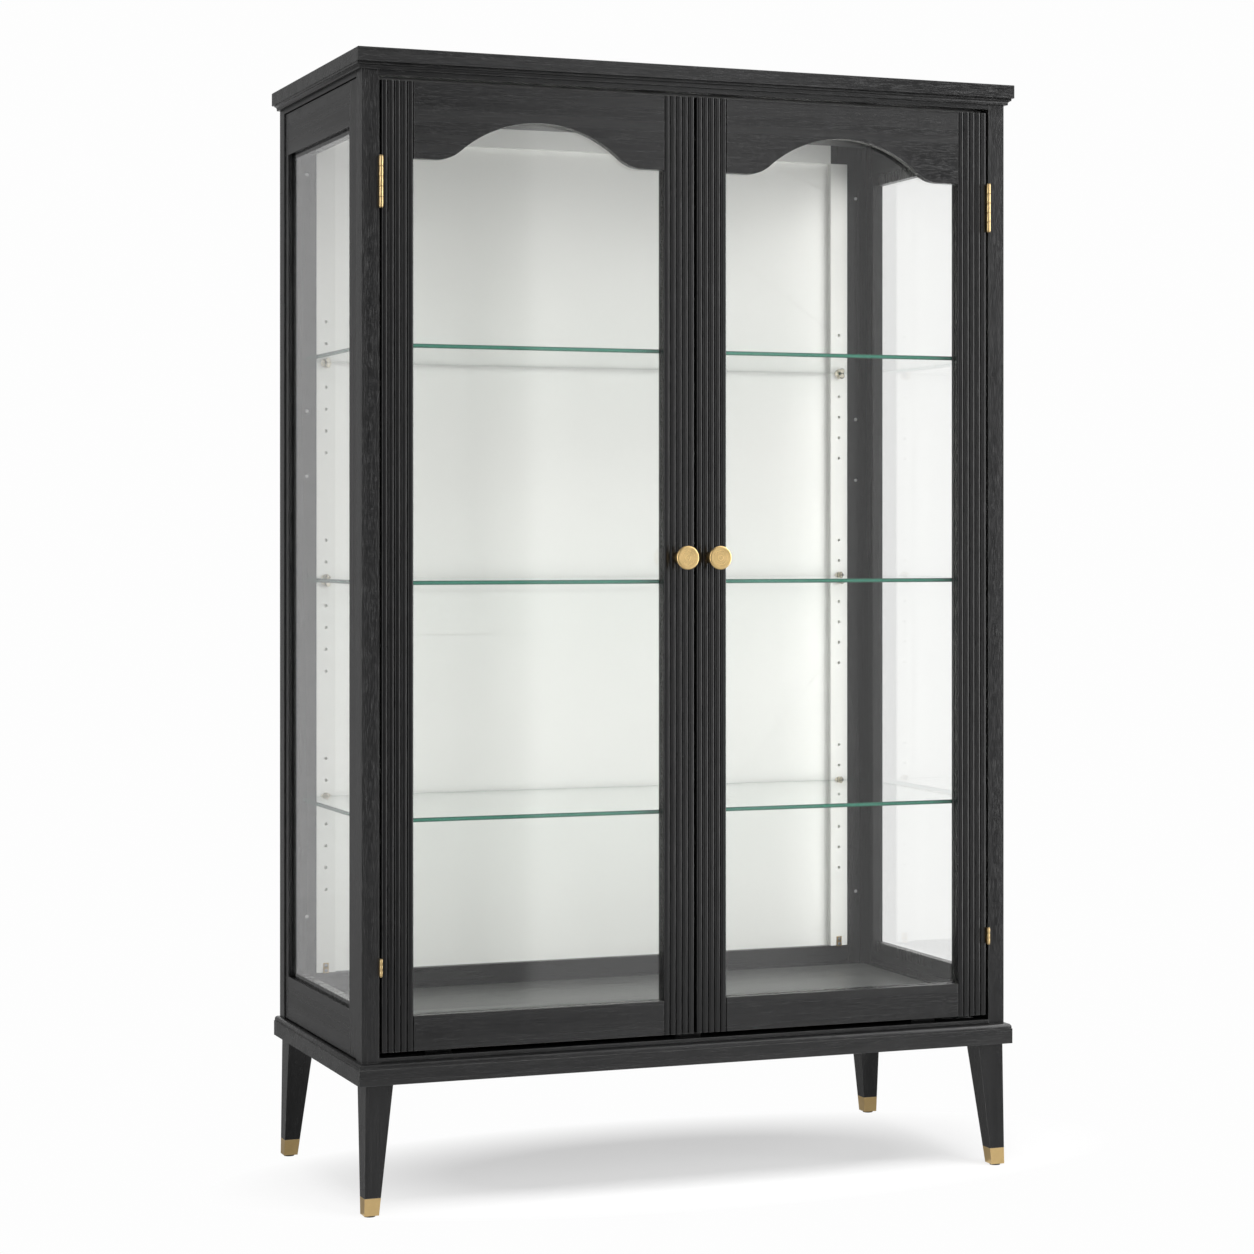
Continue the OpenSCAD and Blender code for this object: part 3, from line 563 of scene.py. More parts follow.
class Finishes:
    """Every material of the showcase, each built once."""

    def __init__(self, shelf_levels: tuple[float, ...], knobs: dict[Side, Vector]) -> None:
        """Builds the effects and the materials.

        Args:
            shelf_levels: The height of the middle of each glass shelf.
            knobs: The middle of each knob.
        """
        for effect in (open_grain, rubbed_edge, faint_clouding, brush_lines):
            effect()
        self.wood = {
            Grain.X: StainedWood("stained_wood_x", Grain.X).build(),
            # The grain-along-Y copy has a darker light tone: painted shade that offsets the extra light its
            # boards catch.
            Grain.Y: StainedWood("stained_wood_y", Grain.Y, light=(0.014, 0.014, 0.014), gloss=0.3).build(),
            Grain.Z: StainedWood("stained_wood_z", Grain.Z).build(),
        }
        self.reeded = StainedWood(
            "reeded_wood", Grain.Z, light=(0.0070, 0.0070, 0.0070), satin=(0.16, 0.24), relief=0.07 * MM
        ).build()
        # A much paler copy of the dark stain for the floor and ceiling boards: its grey is painted sheen,
        # standing in for the reflections these dark boards show.
        self.floor = StainedWood(
            "satin_floor",
            Grain.X,
            deep=(0.056, 0.056, 0.055),
            light=(0.130, 0.130, 0.128),
            satin=(0.30, 0.40),
            gloss=0.5,
        ).build()
        self.paint = PaintedBoard("off_white_paint").build()
        # A darker copy of the off-white paint for the back stiles: painted shade, so the stiles sit darker
        # than the panel.
        self.stile_paint = PaintedBoard("stile_paint", (0.775, 0.77, 0.745), (0.73, 0.725, 0.70)).build()
        self.brass = Brass("satin_brass").build()
        self.hinge = Brass(
            "hinge_brass",
            bright=(0.74, 0.55, 0.28),
            dull=(0.50, 0.35, 0.16),
            # Dark edge colour and wide edge mask: painted shade along the knuckle ends and leaf edges, so the
            # gaps between the knuckles read as dark lines.
            edge=(0.10, 0.065, 0.028),
            worn=1.3 * MM,
        ).build()
        self.knob = {
            side: Brass(
                f"turned_brass_{side.word}",
                tuple(centre),
                bright=(0.84, 0.60, 0.28),
                dull=(0.62, 0.43, 0.18),
                rough=(0.22, 0.36),
                pitch=1.6 * MM,
                turned=0.85,
                relief=0.16 * MM,
            ).build()
            for side, centre in knobs.items()
        }
        self.pale = Brass(
            "champagne_brass",
            bright=(0.88, 0.83, 0.70),
            dull=(0.50, 0.45, 0.35),
            edge=(0.95, 0.92, 0.82),
            rough=(0.08, 0.18),
        ).build()
        self.steel = PlainSolid(
            "plated_steel", (0.62, 0.62, 0.61), (0.48, 0.48, 0.48), (0.25, 0.4), metal=1.0
        ).build()
        self.rubber = PlainSolid("black_glide", (0.016, 0.016, 0.016), (0.01, 0.01, 0.01), (0.5, 0.7)).build()
        self.pane = ClearGlass("clear_pane", (0.985, 0.988, 0.983), (0.965, 0.968, 0.963)).build()
        self.shelf = ClearGlass("clear_shelf", (0.955, 0.985, 0.97), (0.93, 0.95, 0.94)).build()
        self.shelf_edge = GlassEdge("shelf_glass_edge", shelf_levels).build()


# ---- Meshes ----


def link(name: str, data: ID) -> Object:
    """Puts a mesh, a lamp or a camera in the scene as an object at the origin.

    Args:
        name: The object's name.
        data: What the object shows.

    Returns:
        The object.
    """
    piece = bpy.data.objects.new(name, data)
    bpy.context.scene.collection.objects.link(piece)
    return piece


def smooth(mesh: Mesh, degrees: float = 35.0) -> None:
    """Shades a mesh smooth, with its sharper edges kept.

    Args:
        mesh: The mesh.
        degrees: Edges that turn more than this stay sharp.
    """
    mesh.shade_smooth()
    mesh.set_sharp_from_angle(angle=math.radians(degrees))


def mesh_from(work: bmesh.types.BMesh, name: str) -> Mesh:
    """Turns an edit mesh into a closed, outward-facing mesh.

    Args:
        work: The edit mesh, which is freed.
        name: The mesh's name.

    Returns:
        The mesh.
    """
    bmesh.ops.remove_doubles(work, verts=work.verts, dist=SAME_POINT)
    bmesh.ops.recalc_face_normals(work, faces=work.faces)
    mesh = bpy.data.meshes.new(name)
    work.to_mesh(mesh)
    work.free()
    return mesh


def turned(name: str, profile: Sequence[Pair], place: Matrix, steps: int = 72) -> Mesh:
    """A turned piece.

    Args:
        name: The mesh's name.
        profile: Radius and height of each point, from the foot to the tip.
        place: Where the piece stands, with its axis along Z.
        steps: Segments round the axis.

    Returns:
        The mesh.
    """
    work = bmesh.new()
    rings = []
    for radius, height in profile:
        ring = []
        for step in range(steps):
            angle = math.tau * step / steps
            ring.append(work.verts.new((radius * math.cos(angle), radius * math.sin(angle), height)))
        rings.append(ring)
    for lower, upper in zip(rings, rings[1:]):
        for i in range(steps):
            j = (i + 1) % steps
            work.faces.new((lower[i], lower[j], upper[j], upper[i]))
    work.faces.new(list(reversed(rings[0])))
    work.faces.new(rings[-1])
    bmesh.ops.transform(work, matrix=place, verts=work.verts)
    mesh = mesh_from(work, name)
    smooth(mesh, 40.0)
    return mesh


# ---- Geometry Nodes ----


def start_rule(name: str, inputs: dict[str, str | float]) -> tuple[Sheet, Sequence[NodeSocket]]:
    """Starts a geometry node tree that takes in geometry and a material, and puts out geometry.

    Args:
        name: The tree's name.
        inputs: Its other inputs, as start_tree takes them.

    Returns:
        The sheet to build on, and the sockets that give the inputs.
    """
    inputs = {"Geometry": "Geometry", **inputs, "Material": "Material"}
    return start_tree(name, "Geometry", inputs, ("Geometry",), "Geometry")


def close_rule(sheet: Sheet, given: Sequence[NodeSocket], shape: NodeSocket) -> NodeTree:
    """Ends a geometry node tree with Realize Instances and Set Material.

    Args:
        sheet: The tree's sheet.
        given: The sockets that give its inputs.
        shape: The geometry to put out.

    Returns:
        The tree.
    """
    real = sheet.add("GeometryNodeRealizeInstances", {0: shape})
    coat = sheet.add("GeometryNodeSetMaterial", {"Geometry": real.outputs[0], "Material": given["Material"]})
    sheet.add("NodeGroupOutput", {0: coat.outputs[0]})
    return sheet.tree


def grow(name: str, tree: NodeTree, values: dict[str, Value], seed: Mesh | None = None) -> Mesh:
    """Runs a geometry node tree and keeps its result as a plain mesh.

    Args:
        name: The mesh's name.
        tree: The tree.
        values: A value for each of its named inputs.
        seed: The mesh that it starts from, if it needs one.

    Returns:
        The mesh.
    """
    source = link(name + "_source", seed or bpy.data.meshes.new(name + "_source"))
    rule = source.modifiers.new("rule", "NODES")
    rule.node_group = tree
    sockets = {item.name: item.identifier for item in tree.interface.items_tree if item.in_out == "INPUT"}
    for key, value in values.items():
        rule[sockets[key]] = value
    graph = bpy.context.evaluated_depsgraph_get()
    mesh = bpy.data.meshes.new_from_object(source.evaluated_get(graph))
    mesh.name = name
    bpy.data.objects.remove(source)
    return mesh


def reeded_stile() -> NodeTree:
    """A stile with reeds down its face and a rebate behind, drawn as a section and run up.

    Returns:
        The tree. The section starts at the origin, across +X and back along +Y.
    """
    sizes = ("Width", "Depth", "Height", "Groove Width", "Groove Depth")
    sizes += ("Crown", "Flatness", "Rebate", "Rebate Depth", "Ease")
    sheet, given = start_rule("reeded_stile", {**dict.fromkeys(sizes, 0.01), "Reeds": 5, "Steps": 20})
    calc, product = sheet.math, sheet.product
    width, depth, rebate, reeds = (given[key] for key in ("Width", "Depth", "Rebate", "Reeds"))
    face_points = calc("ADD", product(reeds, given["Steps"]), 1.0)
    count = calc("ADD", face_points, 4.0)
    line = sheet.add("GeometryNodeMeshLine", {"Count": count}, mode="OFFSET", count_mode="TOTAL")
    index = sheet.add("GeometryNodeInputIndex").outputs[0]
    across = product(calc("DIVIDE", index, calc("SUBTRACT", face_points, 1.0)), width)
    pitch = calc("DIVIDE", width, reeds)
    turn = calc("ROUND", calc("DIVIDE", across, pitch))
    off = calc("ABSOLUTE", calc("SUBTRACT", across, product(turn, pitch)))
    half = product(given["Groove Width"], 0.5)
    notch = calc("MAXIMUM", calc("SUBTRACT", 1.0, calc("DIVIDE", off, half)), 0.0)
    inner = product(calc("GREATER_THAN", turn, 0.5), calc("LESS_THAN", turn, calc("SUBTRACT", reeds, 0.5)))
    groove = product(product(notch, inner), given["Groove Depth"])
    swell = calc("SUBTRACT", 1.0, calc("DIVIDE", off, product(pitch, 0.5)))
    crown = product(calc("POWER", swell, given["Flatness"]), given["Crown"])
    from_end = calc("MINIMUM", across, calc("SUBTRACT", width, across))
    end_share = calc("MAXIMUM", calc("SUBTRACT", 1.0, calc("DIVIDE", from_end, given["Ease"])), 0.0)
    rounding = product(calc("POWER", end_share, 2.0), given["Ease"])
    place = sheet.vector(x=across, y=calc("ADD", calc("MAXIMUM", groove, crown), rounding))
    shoulder = calc("SUBTRACT", depth, given["Rebate Depth"])
    for step, (x, y) in enumerate(((width, depth), (rebate, depth), (rebate, shoulder), (0.0, shoulder))):
        here = calc("COMPARE", index, calc("ADD", face_points, float(step)), 0.5)
        choice = {"Switch": here, "False": place, "True": sheet.vector(x=x, y=y)}
        place = sheet.add("GeometryNodeSwitch", choice, input_type="VECTOR").outputs[0]
    outline = sheet.add("GeometryNodeSetPosition", {"Geometry": line.outputs[0], "Position": place})
    curve = sheet.add("GeometryNodeMeshToCurve", {"Mesh": outline.outputs[0]})
    closed = sheet.add("GeometryNodeSetSplineCyclic", {"Geometry": curve.outputs[0], "Cyclic": True})
    section = sheet.add("GeometryNodeFillCurve", {"Curve": closed.outputs[0]}, mode="NGONS").outputs[0]
    up = sheet.vector(z=given["Height"])
    run = {"Mesh": section, "Offset": up, "Offset Scale": 1.0, "Individual": False}
    joined = sheet.add("GeometryNodeJoinGeometry")
    for part in (
        sheet.add("GeometryNodeExtrudeMesh", run, mode="FACES"),
        sheet.add("GeometryNodeFlipFaces", {0: section}),
    ):
        sheet.tree.links.new(part.outputs[0], joined.inputs[0])
    merged = sheet.add("GeometryNodeMergeByDistance", {"Geometry": joined.outputs[0], "Distance": SAME_POINT})
    return close_rule(sheet, given, merged.outputs[0])


def small_fittings() -> NodeTree:
    """One small fitting stood on every point, each facing its own way and turned at random.

    Returns:
        The tree. Its points carry the vector attribute "facing".
    """
    inputs = {"Fitting": "Object", "Least Turn": 0.0, "Most Turn": 0.0, "Seed": 0}
    sheet, given = start_rule("small_fittings", inputs)
    shape = sheet.add("GeometryNodeObjectInfo", {"Object": given["Fitting"]}).outputs["Geometry"]
    facing = sheet.add("GeometryNodeInputNamedAttribute", {"Name": "facing"}, data_type="FLOAT_VECTOR")
    aim = sheet.add(
        "FunctionNodeAlignRotationToVector", {"Vector": facing.outputs[0]}, axis="Z", pivot_axis="AUTO"
    )
    range_of_turn = {2: given["Least Turn"], 3: given["Most Turn"], "Seed": given["Seed"]}
    chance = sheet.add("FunctionNodeRandomValue", range_of_turn, data_type="FLOAT")
    spin = sheet.add("FunctionNodeEulerToRotation", {0: sheet.vector(z=chance.outputs[1])})
    turns = {0: aim.outputs[0], 1: spin.outputs[0]}
    both = sheet.add("FunctionNodeRotateRotation", turns, rotation_space="LOCAL").outputs[0]
    points = sheet.add("GeometryNodeMeshToPoints", {"Mesh": given["Geometry"]}, mode="VERTICES").outputs[0]
    stood = sheet.add("GeometryNodeInstanceOnPoints", {"Points": points, "Instance": shape, "Rotation": both})
    return close_rule(sheet, given, stood.outputs[0])


@dataclass
class Spot:
    """A place for a small fitting and the way that it faces."""

    at: Vector
    facing: Vector


def stand_fittings(
    name: str, tree: NodeTree, shape: Mesh, spots: Sequence[Spot], material: Material, turn: float = 0.0
) -> Mesh:
    """Stands one fitting at every spot.

    Args:
        name: The mesh's name.
        tree: The fittings' geometry node tree.
        shape: The fitting, facing +Z from the origin.
        spots: Where the fittings go.
        material: Their finish.
        turn: How far each may be turned about its axis.

    Returns:
        One plain mesh with every fitting.
    """
    seed = bpy.data.meshes.new(name + "_spots")
    seed.from_pydata([spot.at for spot in spots], [], [])
    facing = seed.attributes.new("facing", "FLOAT_VECTOR", "POINT")
    for item, spot in zip(facing.data, spots):
        item.vector = spot.facing
    model = link(name + "_model", shape)
    values = {"Fitting": model, "Least Turn": -turn, "Most Turn": turn, "Seed": 7, "Material": material}
    mesh = grow(name, tree, values, seed)
    bpy.data.objects.remove(model)
    return mesh


def join_meshes(name: str, meshes: Iterable[Mesh]) -> Mesh:
    """Puts closed meshes together as the shells of one mesh.

    Args:
        name: The new mesh's name.
        meshes: The meshes, whose materials go by slot number.

    Returns:
        The mesh.
    """
    work = bmesh.new()
    for mesh in meshes:
        work.from_mesh(mesh)
    joined = mesh_from(work, name)
    smooth(joined, 40.0)
    return joined


def shells(node: Object) -> list[Box]:
    """The box of each separate solid of a CAD node.

    Args:
        node: The node's object, whose mesh isn't touched.

    Returns:
        The lowest and highest corner of each solid.
    """
    work = bmesh.new()
    work.from_mesh(node.data)
    bmesh.ops.remove_doubles(work, verts=work.verts, dist=SAME_POINT)
    left = set(work.verts)
    boxes = []
    while left:
        front = [left.pop()]
        found = list(front)
        while front:
            near = {edge.other_vert(vert) for vert in front for edge in vert.link_edges} & left
            left -= near
            found.extend(near)
            front = list(near)
        low = Vector(min(v.co[i] for v in found) for i in range(3))
        high = Vector(max(v.co[i] for v in found) for i in range(3))
        boxes.append((low, high))
    work.free()
    return sorted(boxes, key=lambda box: tuple(round(value, 5) for value in (*box[0], *box[1])))


def ease_edges(piece: Object, width: float, segments: int = 2) -> None:
    """Rounds the sharp edges of a CAD piece with modifiers, which leave its mesh alone.

    Args:
        piece: The piece.
        width: How far the rounding runs in from each edge.
        segments: Segments of the rounding.
    """
    weld = piece.modifiers.new("weld", "WELD")
    weld.merge_threshold = SAME_POINT
    ease = piece.modifiers.new("eased_edges", "BEVEL")
    ease.width = width
    ease.segments = segments
    ease.limit_method = "ANGLE"
    ease.angle_limit = math.radians(40)
    ease.harden_normals = True


def eased_box(name: str, low: Vector, high: Vector, ease: float) -> Mesh:
    """A box with eased edges.

    Args:
        name: The mesh's name.
        low: Its lowest corner.
        high: Its highest corner.
        ease: How far the rounding runs in from each edge.

    Returns:
        The mesh.
    """
    work = bmesh.new()
    bmesh.ops.create_cube(work, size=1.0)
    place = Matrix.Translation((low + high) / 2) @ Matrix.Diagonal((*(high - low), 1.0))
    bmesh.ops.transform(work, matrix=place, verts=work.verts)
    bmesh.ops.bevel(work, geom=work.edges, offset=ease, segments=2, profile=0.5, affect="EDGES")
    return mesh_from(work, name)


# ---- Sub-assemblies ----


@dataclass
class Workshop:
    """What every sub-assembly draws on: the frame, the finishes and the shared rules."""

    frame: dict
    finishes: Finishes
    fittings: NodeTree = field(default_factory=small_fittings)
    stile: NodeTree = field(default_factory=reeded_stile)

    def body_of(self, node: str) -> str:
        """The body that a CAD node rides on."""
        bodies = self.frame["record"]["behaviour"]["bodies"]
        return next(body for body, nodes in bodies.items() if node in nodes)

    def coat(self, names: Iterable[str], material: Material, ease: float = 0.0, segments: int = 2) -> None:
        """Keeps the CAD shape of some nodes, with a finish and eased edges.

        Args:
            names: The nodes.
            material: Their finish.
            ease: Width of the rounding along their edges, or zero for none.
            segments: Segments of the rounding.
        """
        for name in names:
            piece = self.frame["nodes"][name]
            for slot in piece.material_slots:
                slot.material = material
            if ease:
                ease_edges(piece, ease, segments)
            LOG.info("%s keeps its CAD shape in %s", name, material.name)

    def take_over(self, node: str, mesh: Mesh, materials: Sequence[Material]) -> Object:
        """Puts a new piece in the place of a CAD node.

        Args:
            node: The node.
            mesh: The new piece's mesh, in place.
            materials: Its finishes.

        Returns:
            The new piece.
        """
        if len(materials) == 1:
            mesh.materials.clear()
        for material in materials:
            mesh.materials.append(material)
        piece = link(node + "_made", mesh)
        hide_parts(node)
        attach(piece, self.body_of(node))
        LOG.info("%s is a new piece with %d faces", piece.name, len(mesh.polygons))
        return piece


@dataclass
class Carcase:
    """The timber case: top, cornice, posts, rails, sides, floor and base, with glass in its sides."""

    shop: Workshop
    ease: float = 0.9 * MM

    def dress(self) -> None:
        """Finishes every timber of the case along its own grain, and the panes."""
        coat, finishes = self.shop.coat, self.shop.finishes
        posts = [f"{end}_{side.word}_post" for end in ("front", "rear") for side in Side]
        sides = [f"side_{part}" for part in ("top_rails", "bottom_rails", "top_strips")]
        for grain, names in {
            Grain.X: ("top_board", "base_board", "front_top_rail", "front_bottom_rail", "cornice_front"),
            Grain.Y: ("cornice_left", "cornice_right", *sides),
            Grain.Z: (*posts, "side_stiles"),
        }.items():
            coat(names, finishes.wood[grain], self.ease, 3)
        # The floor and ceiling boards take the pale copy of the stain, whose grey is painted sheen.
        coat(("ceiling_board", "floor_board"), finishes.floor, self.ease)
        coat(("floor_bearers",), finishes.wood[Grain.Y], THIN_EASE)
        coat(("side_glass_beads",), finishes.wood[Grain.Z], THIN_EASE)
        coat(("left_side_glass", "right_side_glass"), finishes.pane, GLASS_EASE, 1)


@dataclass
class Back:
    """The back: a white panel and frame between dark corner strips."""

    shop: Workshop
    ease: float = 0.8 * MM

    def dress(self) -> None:
        """Paints the panel and its frame, and stains the strips."""
        coat, finishes = self.shop.coat, self.shop.finishes
        coat(("back_panel", "back_top_rail"), finishes.paint, self.ease)
        # The stiles take the darker copy of the paint, which is painted shade.
        coat(("back_stiles",), finishes.stile_paint, self.ease)
        coat(("back_bottom_rail",), finishes.wood[Grain.X], self.ease)
        coat(("back_corner_strips",), finishes.wood[Grain.Z], self.ease)


@dataclass
class Stand:
    """Tapered splayed legs in brass ferrules on black glides."""

    shop: Workshop
    ease: float = 1.2 * MM

    def dress(self) -> None:
        """Finishes the legs and their feet."""
        coat, finishes = self.shop.coat, self.shop.finishes
        legs = [f"{end}_{side.word}_leg" for end in ("front", "rear") for side in Side]
        coat(legs, finishes.wood[Grain.Z], self.ease, 3)
        coat(("leg_ferrules",), finishes.brass, THIN_EASE, 3)
        coat(("leg_glides",), finishes.rubber, THIN_EASE)
        coat(("leg_bolts",), finishes.steel)


@dataclass
class Shelves:
    """Three glass shelves with polished green edges, on brass supports."""

    shop: Workshop
    chamfer: float = 0.6 * MM
    disc_thick: float = 2.7 * MM
    disc_rim: float = 0.5 * MM
    arm_radius: float = 4.6 * MM
    arm_reach: float = 13.7 * MM
    stub_radius: float = 2.5 * MM
    drop_share: float = 1.6
    stub_reach: float = 9.7 * MM
    stub_rise: float = 8.9 * MM
    disc_rise: float = 2.0 * MM
    disc_radius: float = 9.0 * MM
    pin_radius: float = 2.4 * MM
    pin_reach: float = 8.9 * MM

    NODES = ("lower_shelf", "middle_shelf", "upper_shelf")

    def build(self) -> None:
        """Builds the panes and their supports."""
        finishes = self.shop.finishes
        for node in self.NODES:
            self.shop.take_over(node, self.pane(node), (finishes.shelf, finishes.shelf_edge))
        self.shop.take_over("shelf_supports", self.supports(), (finishes.pale,))

    def pane(self, node: str) -> Mesh:
        """A pane with chamfered edges, its edges in the second finish.

        Args:
            node: The shelf's CAD node.

        Returns:
            The mesh.
        """
        mesh = eased_box(node, *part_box(node), self.chamfer)
        for face in mesh.polygons:
            face.material_index = 0 if abs(face.normal.z) > 0.99 else 1
        return mesh

    def support(self) -> Mesh:
        """One support, its wall at the origin and its arm along +Z; -X is down.

        Returns:
            The mesh.
        """
        rim, disc, thick = self.disc_rim, self.disc_radius, self.disc_thick
        arm, stub, pin = self.arm_radius, self.stub_radius, self.pin_radius
        dropped = Matrix.Translation((-stub * self.drop_share, 0, 0))
        flange = ((disc * 0.9, 0.0), (disc, rim), (disc, thick - rim * 2), (disc * 0.86, thick))
        bar = ((arm, 0.0), (arm, self.arm_reach - 3 * rim), (arm * 0.72, self.arm_reach))
        peg = ((stub, 0.0), (stub, self.stub_reach - 2 * rim), (stub * 0.6, self.stub_reach))
        tail = ((pin * 0.8, -self.pin_reach), (pin, -self.pin_reach + rim), (pin, 0.0))
        work = bmesh.new()
        work.from_mesh(turned("support_arm", bar, dropped, 32))
        cut = work.verts[:] + work.edges[:] + work.faces[:]
        plane = {"plane_co": (0, 0, 0), "plane_no": (1, 0, 0)}
        found = bmesh.ops.bisect_plane(work, geom=cut, clear_outer=True, **plane)["geom_cut"]
        bmesh.ops.edgeloop_fill(work, edges=[item for item in found if isinstance(item, bmesh.types.BMEdge)])
        parts = (
            turned("support_flange", flange, Matrix.Translation((self.disc_rise, 0, 0)), 32),
            mesh_from(work, "support_arm_cut"),
            turned("support_stub", peg, Matrix.Translation((self.stub_rise, 0, 0)), 24),
            turned("support_pin", tail, dropped, 16),
        )
        return join_meshes("support", parts)

    def supports(self) -> Mesh:
        """The supports of all three shelves, on the walls behind and beside them.

        Returns:
            The mesh.
        """
        spots = []
        levels = [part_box(node)[0].z for node in self.NODES]
        for low, high in shells(self.shop.frame["nodes"]["shelf_supports"]):
            middle = (low + high) / 2
            along_x = high.x - low.x > high.y - low.y
            level = min(levels, key=lambda value: abs(value - middle.z))
            side = math.copysign(1.0, middle.x)
            if along_x:
                wall = side * (max(abs(low.x), abs(high.x)) - self.pin_reach - PLAY)
                spots.append(Spot(Vector((wall, middle.y, level)), Vector((-side, 0, 0))))
            else:
                wall = high.y - self.pin_reach - PLAY
                spots.append(Spot(Vector((middle.x, wall, level)), Vector((0, -1, 0))))
        LOG.info("%d shelf supports", len(spots))
        upright = self.support()
        parts = []
        for facing in sorted({tuple(spot.facing) for spot in spots}):
            here = [spot for spot in spots if tuple(spot.facing) == facing]
            parts.append(self.stood(upright, Vector(facing), here))
        return join_meshes("shelf_supports", parts)

    def stood(self, upright: Mesh, facing: Vector, spots: list[Spot]) -> Mesh:
        """Stands the supports that face one way, with their discs upright.

        Args:
            upright: One support as support() makes it.
            facing: The way that they face.
            spots: Their places.

        Returns:
            The mesh.
        """
        shape = upright.copy()
        shape.transform(Matrix((UP, facing.cross(UP), facing)).transposed().to_4x4())
        level = [Spot(spot.at, UP) for spot in spots]
        return stand_fittings("supports", self.shop.fittings, shape, level, self.shop.finishes.pale)


@dataclass
class Fittings:
    """Screws, plates, catches and the hinges' fixed halves."""

    shop: Workshop
    button_high: float = 1.2 * MM
    sink: float = 1.5 * MM
    shank: float = 1.5 * MM

    def dress(self) -> None:
        """Finishes the plates, catches and hinges, and builds the screws of the case."""
        finishes = self.shop.finishes
        self.shop.coat(("joint_plates",), finishes.brass, PLATE_EASE)
        self.shop.coat(("hinge_frame_leaves", "hinge_pins"), finishes.hinge, HINGE_EASE)
        self.shop.coat(("door_catches",), finishes.steel, THIN_EASE)
        self.shop.take_over("case_screws", self.case_screws(), (finishes.brass, finishes.steel))

    def round_head(self, radius: float, length: float) -> Mesh:
        """A round-headed screw with a socket, its seat at the origin and its head along +Z.

        Args:
            radius: The head's radius.
            length: How far the shank runs behind the seat.

        Returns:
            The mesh.
        """
        high = self.button_high
        return turned(
            "round_head",
            (
                (self.shank * 0.3, -length),
                (self.shank, -length + 1.5 * MM),
                (self.shank, 0.0),
                (radius * 0.96, 0.0),
                (radius, 0.2 * MM),
                (radius * 0.93, high * 0.62),
                (radius * 0.66, high * 0.93),
                (radius * 0.40, high),
                (radius * 0.34, high * 0.5),
            ),
            Matrix.Identity(4),
            24,
        )

    def flat_head(self, radius: float, length: float) -> Mesh:
        """A countersunk screw with a socket, its face at the origin and facing +Z.

        Args:
            radius: The head's radius.
            length: The length over all.

        Returns:
            The mesh.
        """
        return turned(
            "flat_head",
            (
                (self.shank * 0.3, -length),
                (self.shank * 0.94, -length + 2 * MM),
                (self.shank * 0.94, -self.sink),
                (radius * 0.98, -0.05 * MM),
                (radius * 0.9, 0.0),
                (radius * 0.42, 0.0),
                (radius * 0.36, -0.6 * MM),
            ),
            Matrix.Identity(4),
            24,
        )

    def hinge_screws(self, boxes: list[Box], outward: int) -> Mesh:
        """The countersunk screws of the hinges among some boxes.

        Args:
            boxes: The solids of a node of screws.
            outward: 1 where the screws run outwards from the hinge, and -1 where they run inwards.

        Returns:
            The mesh.
        """
        spots = []
        for low, high in boxes:
            middle, side = (low + high) / 2, math.copysign(1.0, low.x)
            ends = sorted((low.x, high.x), key=abs)
            face = ends[0] if outward > 0 else ends[1]
            spots.append(Spot(Vector((face, middle.y, middle.z)), Vector((-side * outward, 0, 0))))
        low, high = boxes[0]
        shape = self.flat_head((high.z - low.z) / 2, high.x - low.x)
        return self.stand("hinge_screws", shape, spots)

    def stand(self, name: str, shape: Mesh, spots: list[Spot]) -> Mesh:
        """Stands one kind of brass screw, each turned at random."""
        return stand_fittings(name, self.shop.fittings, shape, spots, self.shop.finishes.brass, math.pi)

    def case_screws(self) -> Mesh:
        """Every screw of the case, where the CAD has them.

        Returns:
            The mesh.
        """
        boxes = shells(self.shop.frame["nodes"]["case_screws"])
        hinge = [box for box in boxes if box[1].x - box[0].x > box[1].y - box[0].y]
        rear_face = max(high.y for _, high in boxes)
        rear = [box for box in boxes if box not in hinge and box[1].y > rear_face - PLAY]
        front = [box for box in boxes if box not in hinge and box not in rear]
        parts = [self.hinge_screws(hinge, 1)]
        for group, facing in ((rear, 1), (front, -1)):
            low, high = group[0]
            shape = self.round_head((high.x - low.x) / 2, high.y - low.y - self.button_high)
            spots = []
            for low, high in group:
                seat = high.y - self.button_high if facing > 0 else low.y + self.button_high
                at = Vector(((low.x + high.x) / 2, seat, (low.z + high.z) / 2))
                spots.append(Spot(at, Vector((0, facing, 0))))
            stood = self.stand("screws", shape, spots)
            for face in stood.polygons:
                face.material_index = 1 if facing < 0 else 0
            parts.append(stood)
        return join_meshes("case_screws", parts)


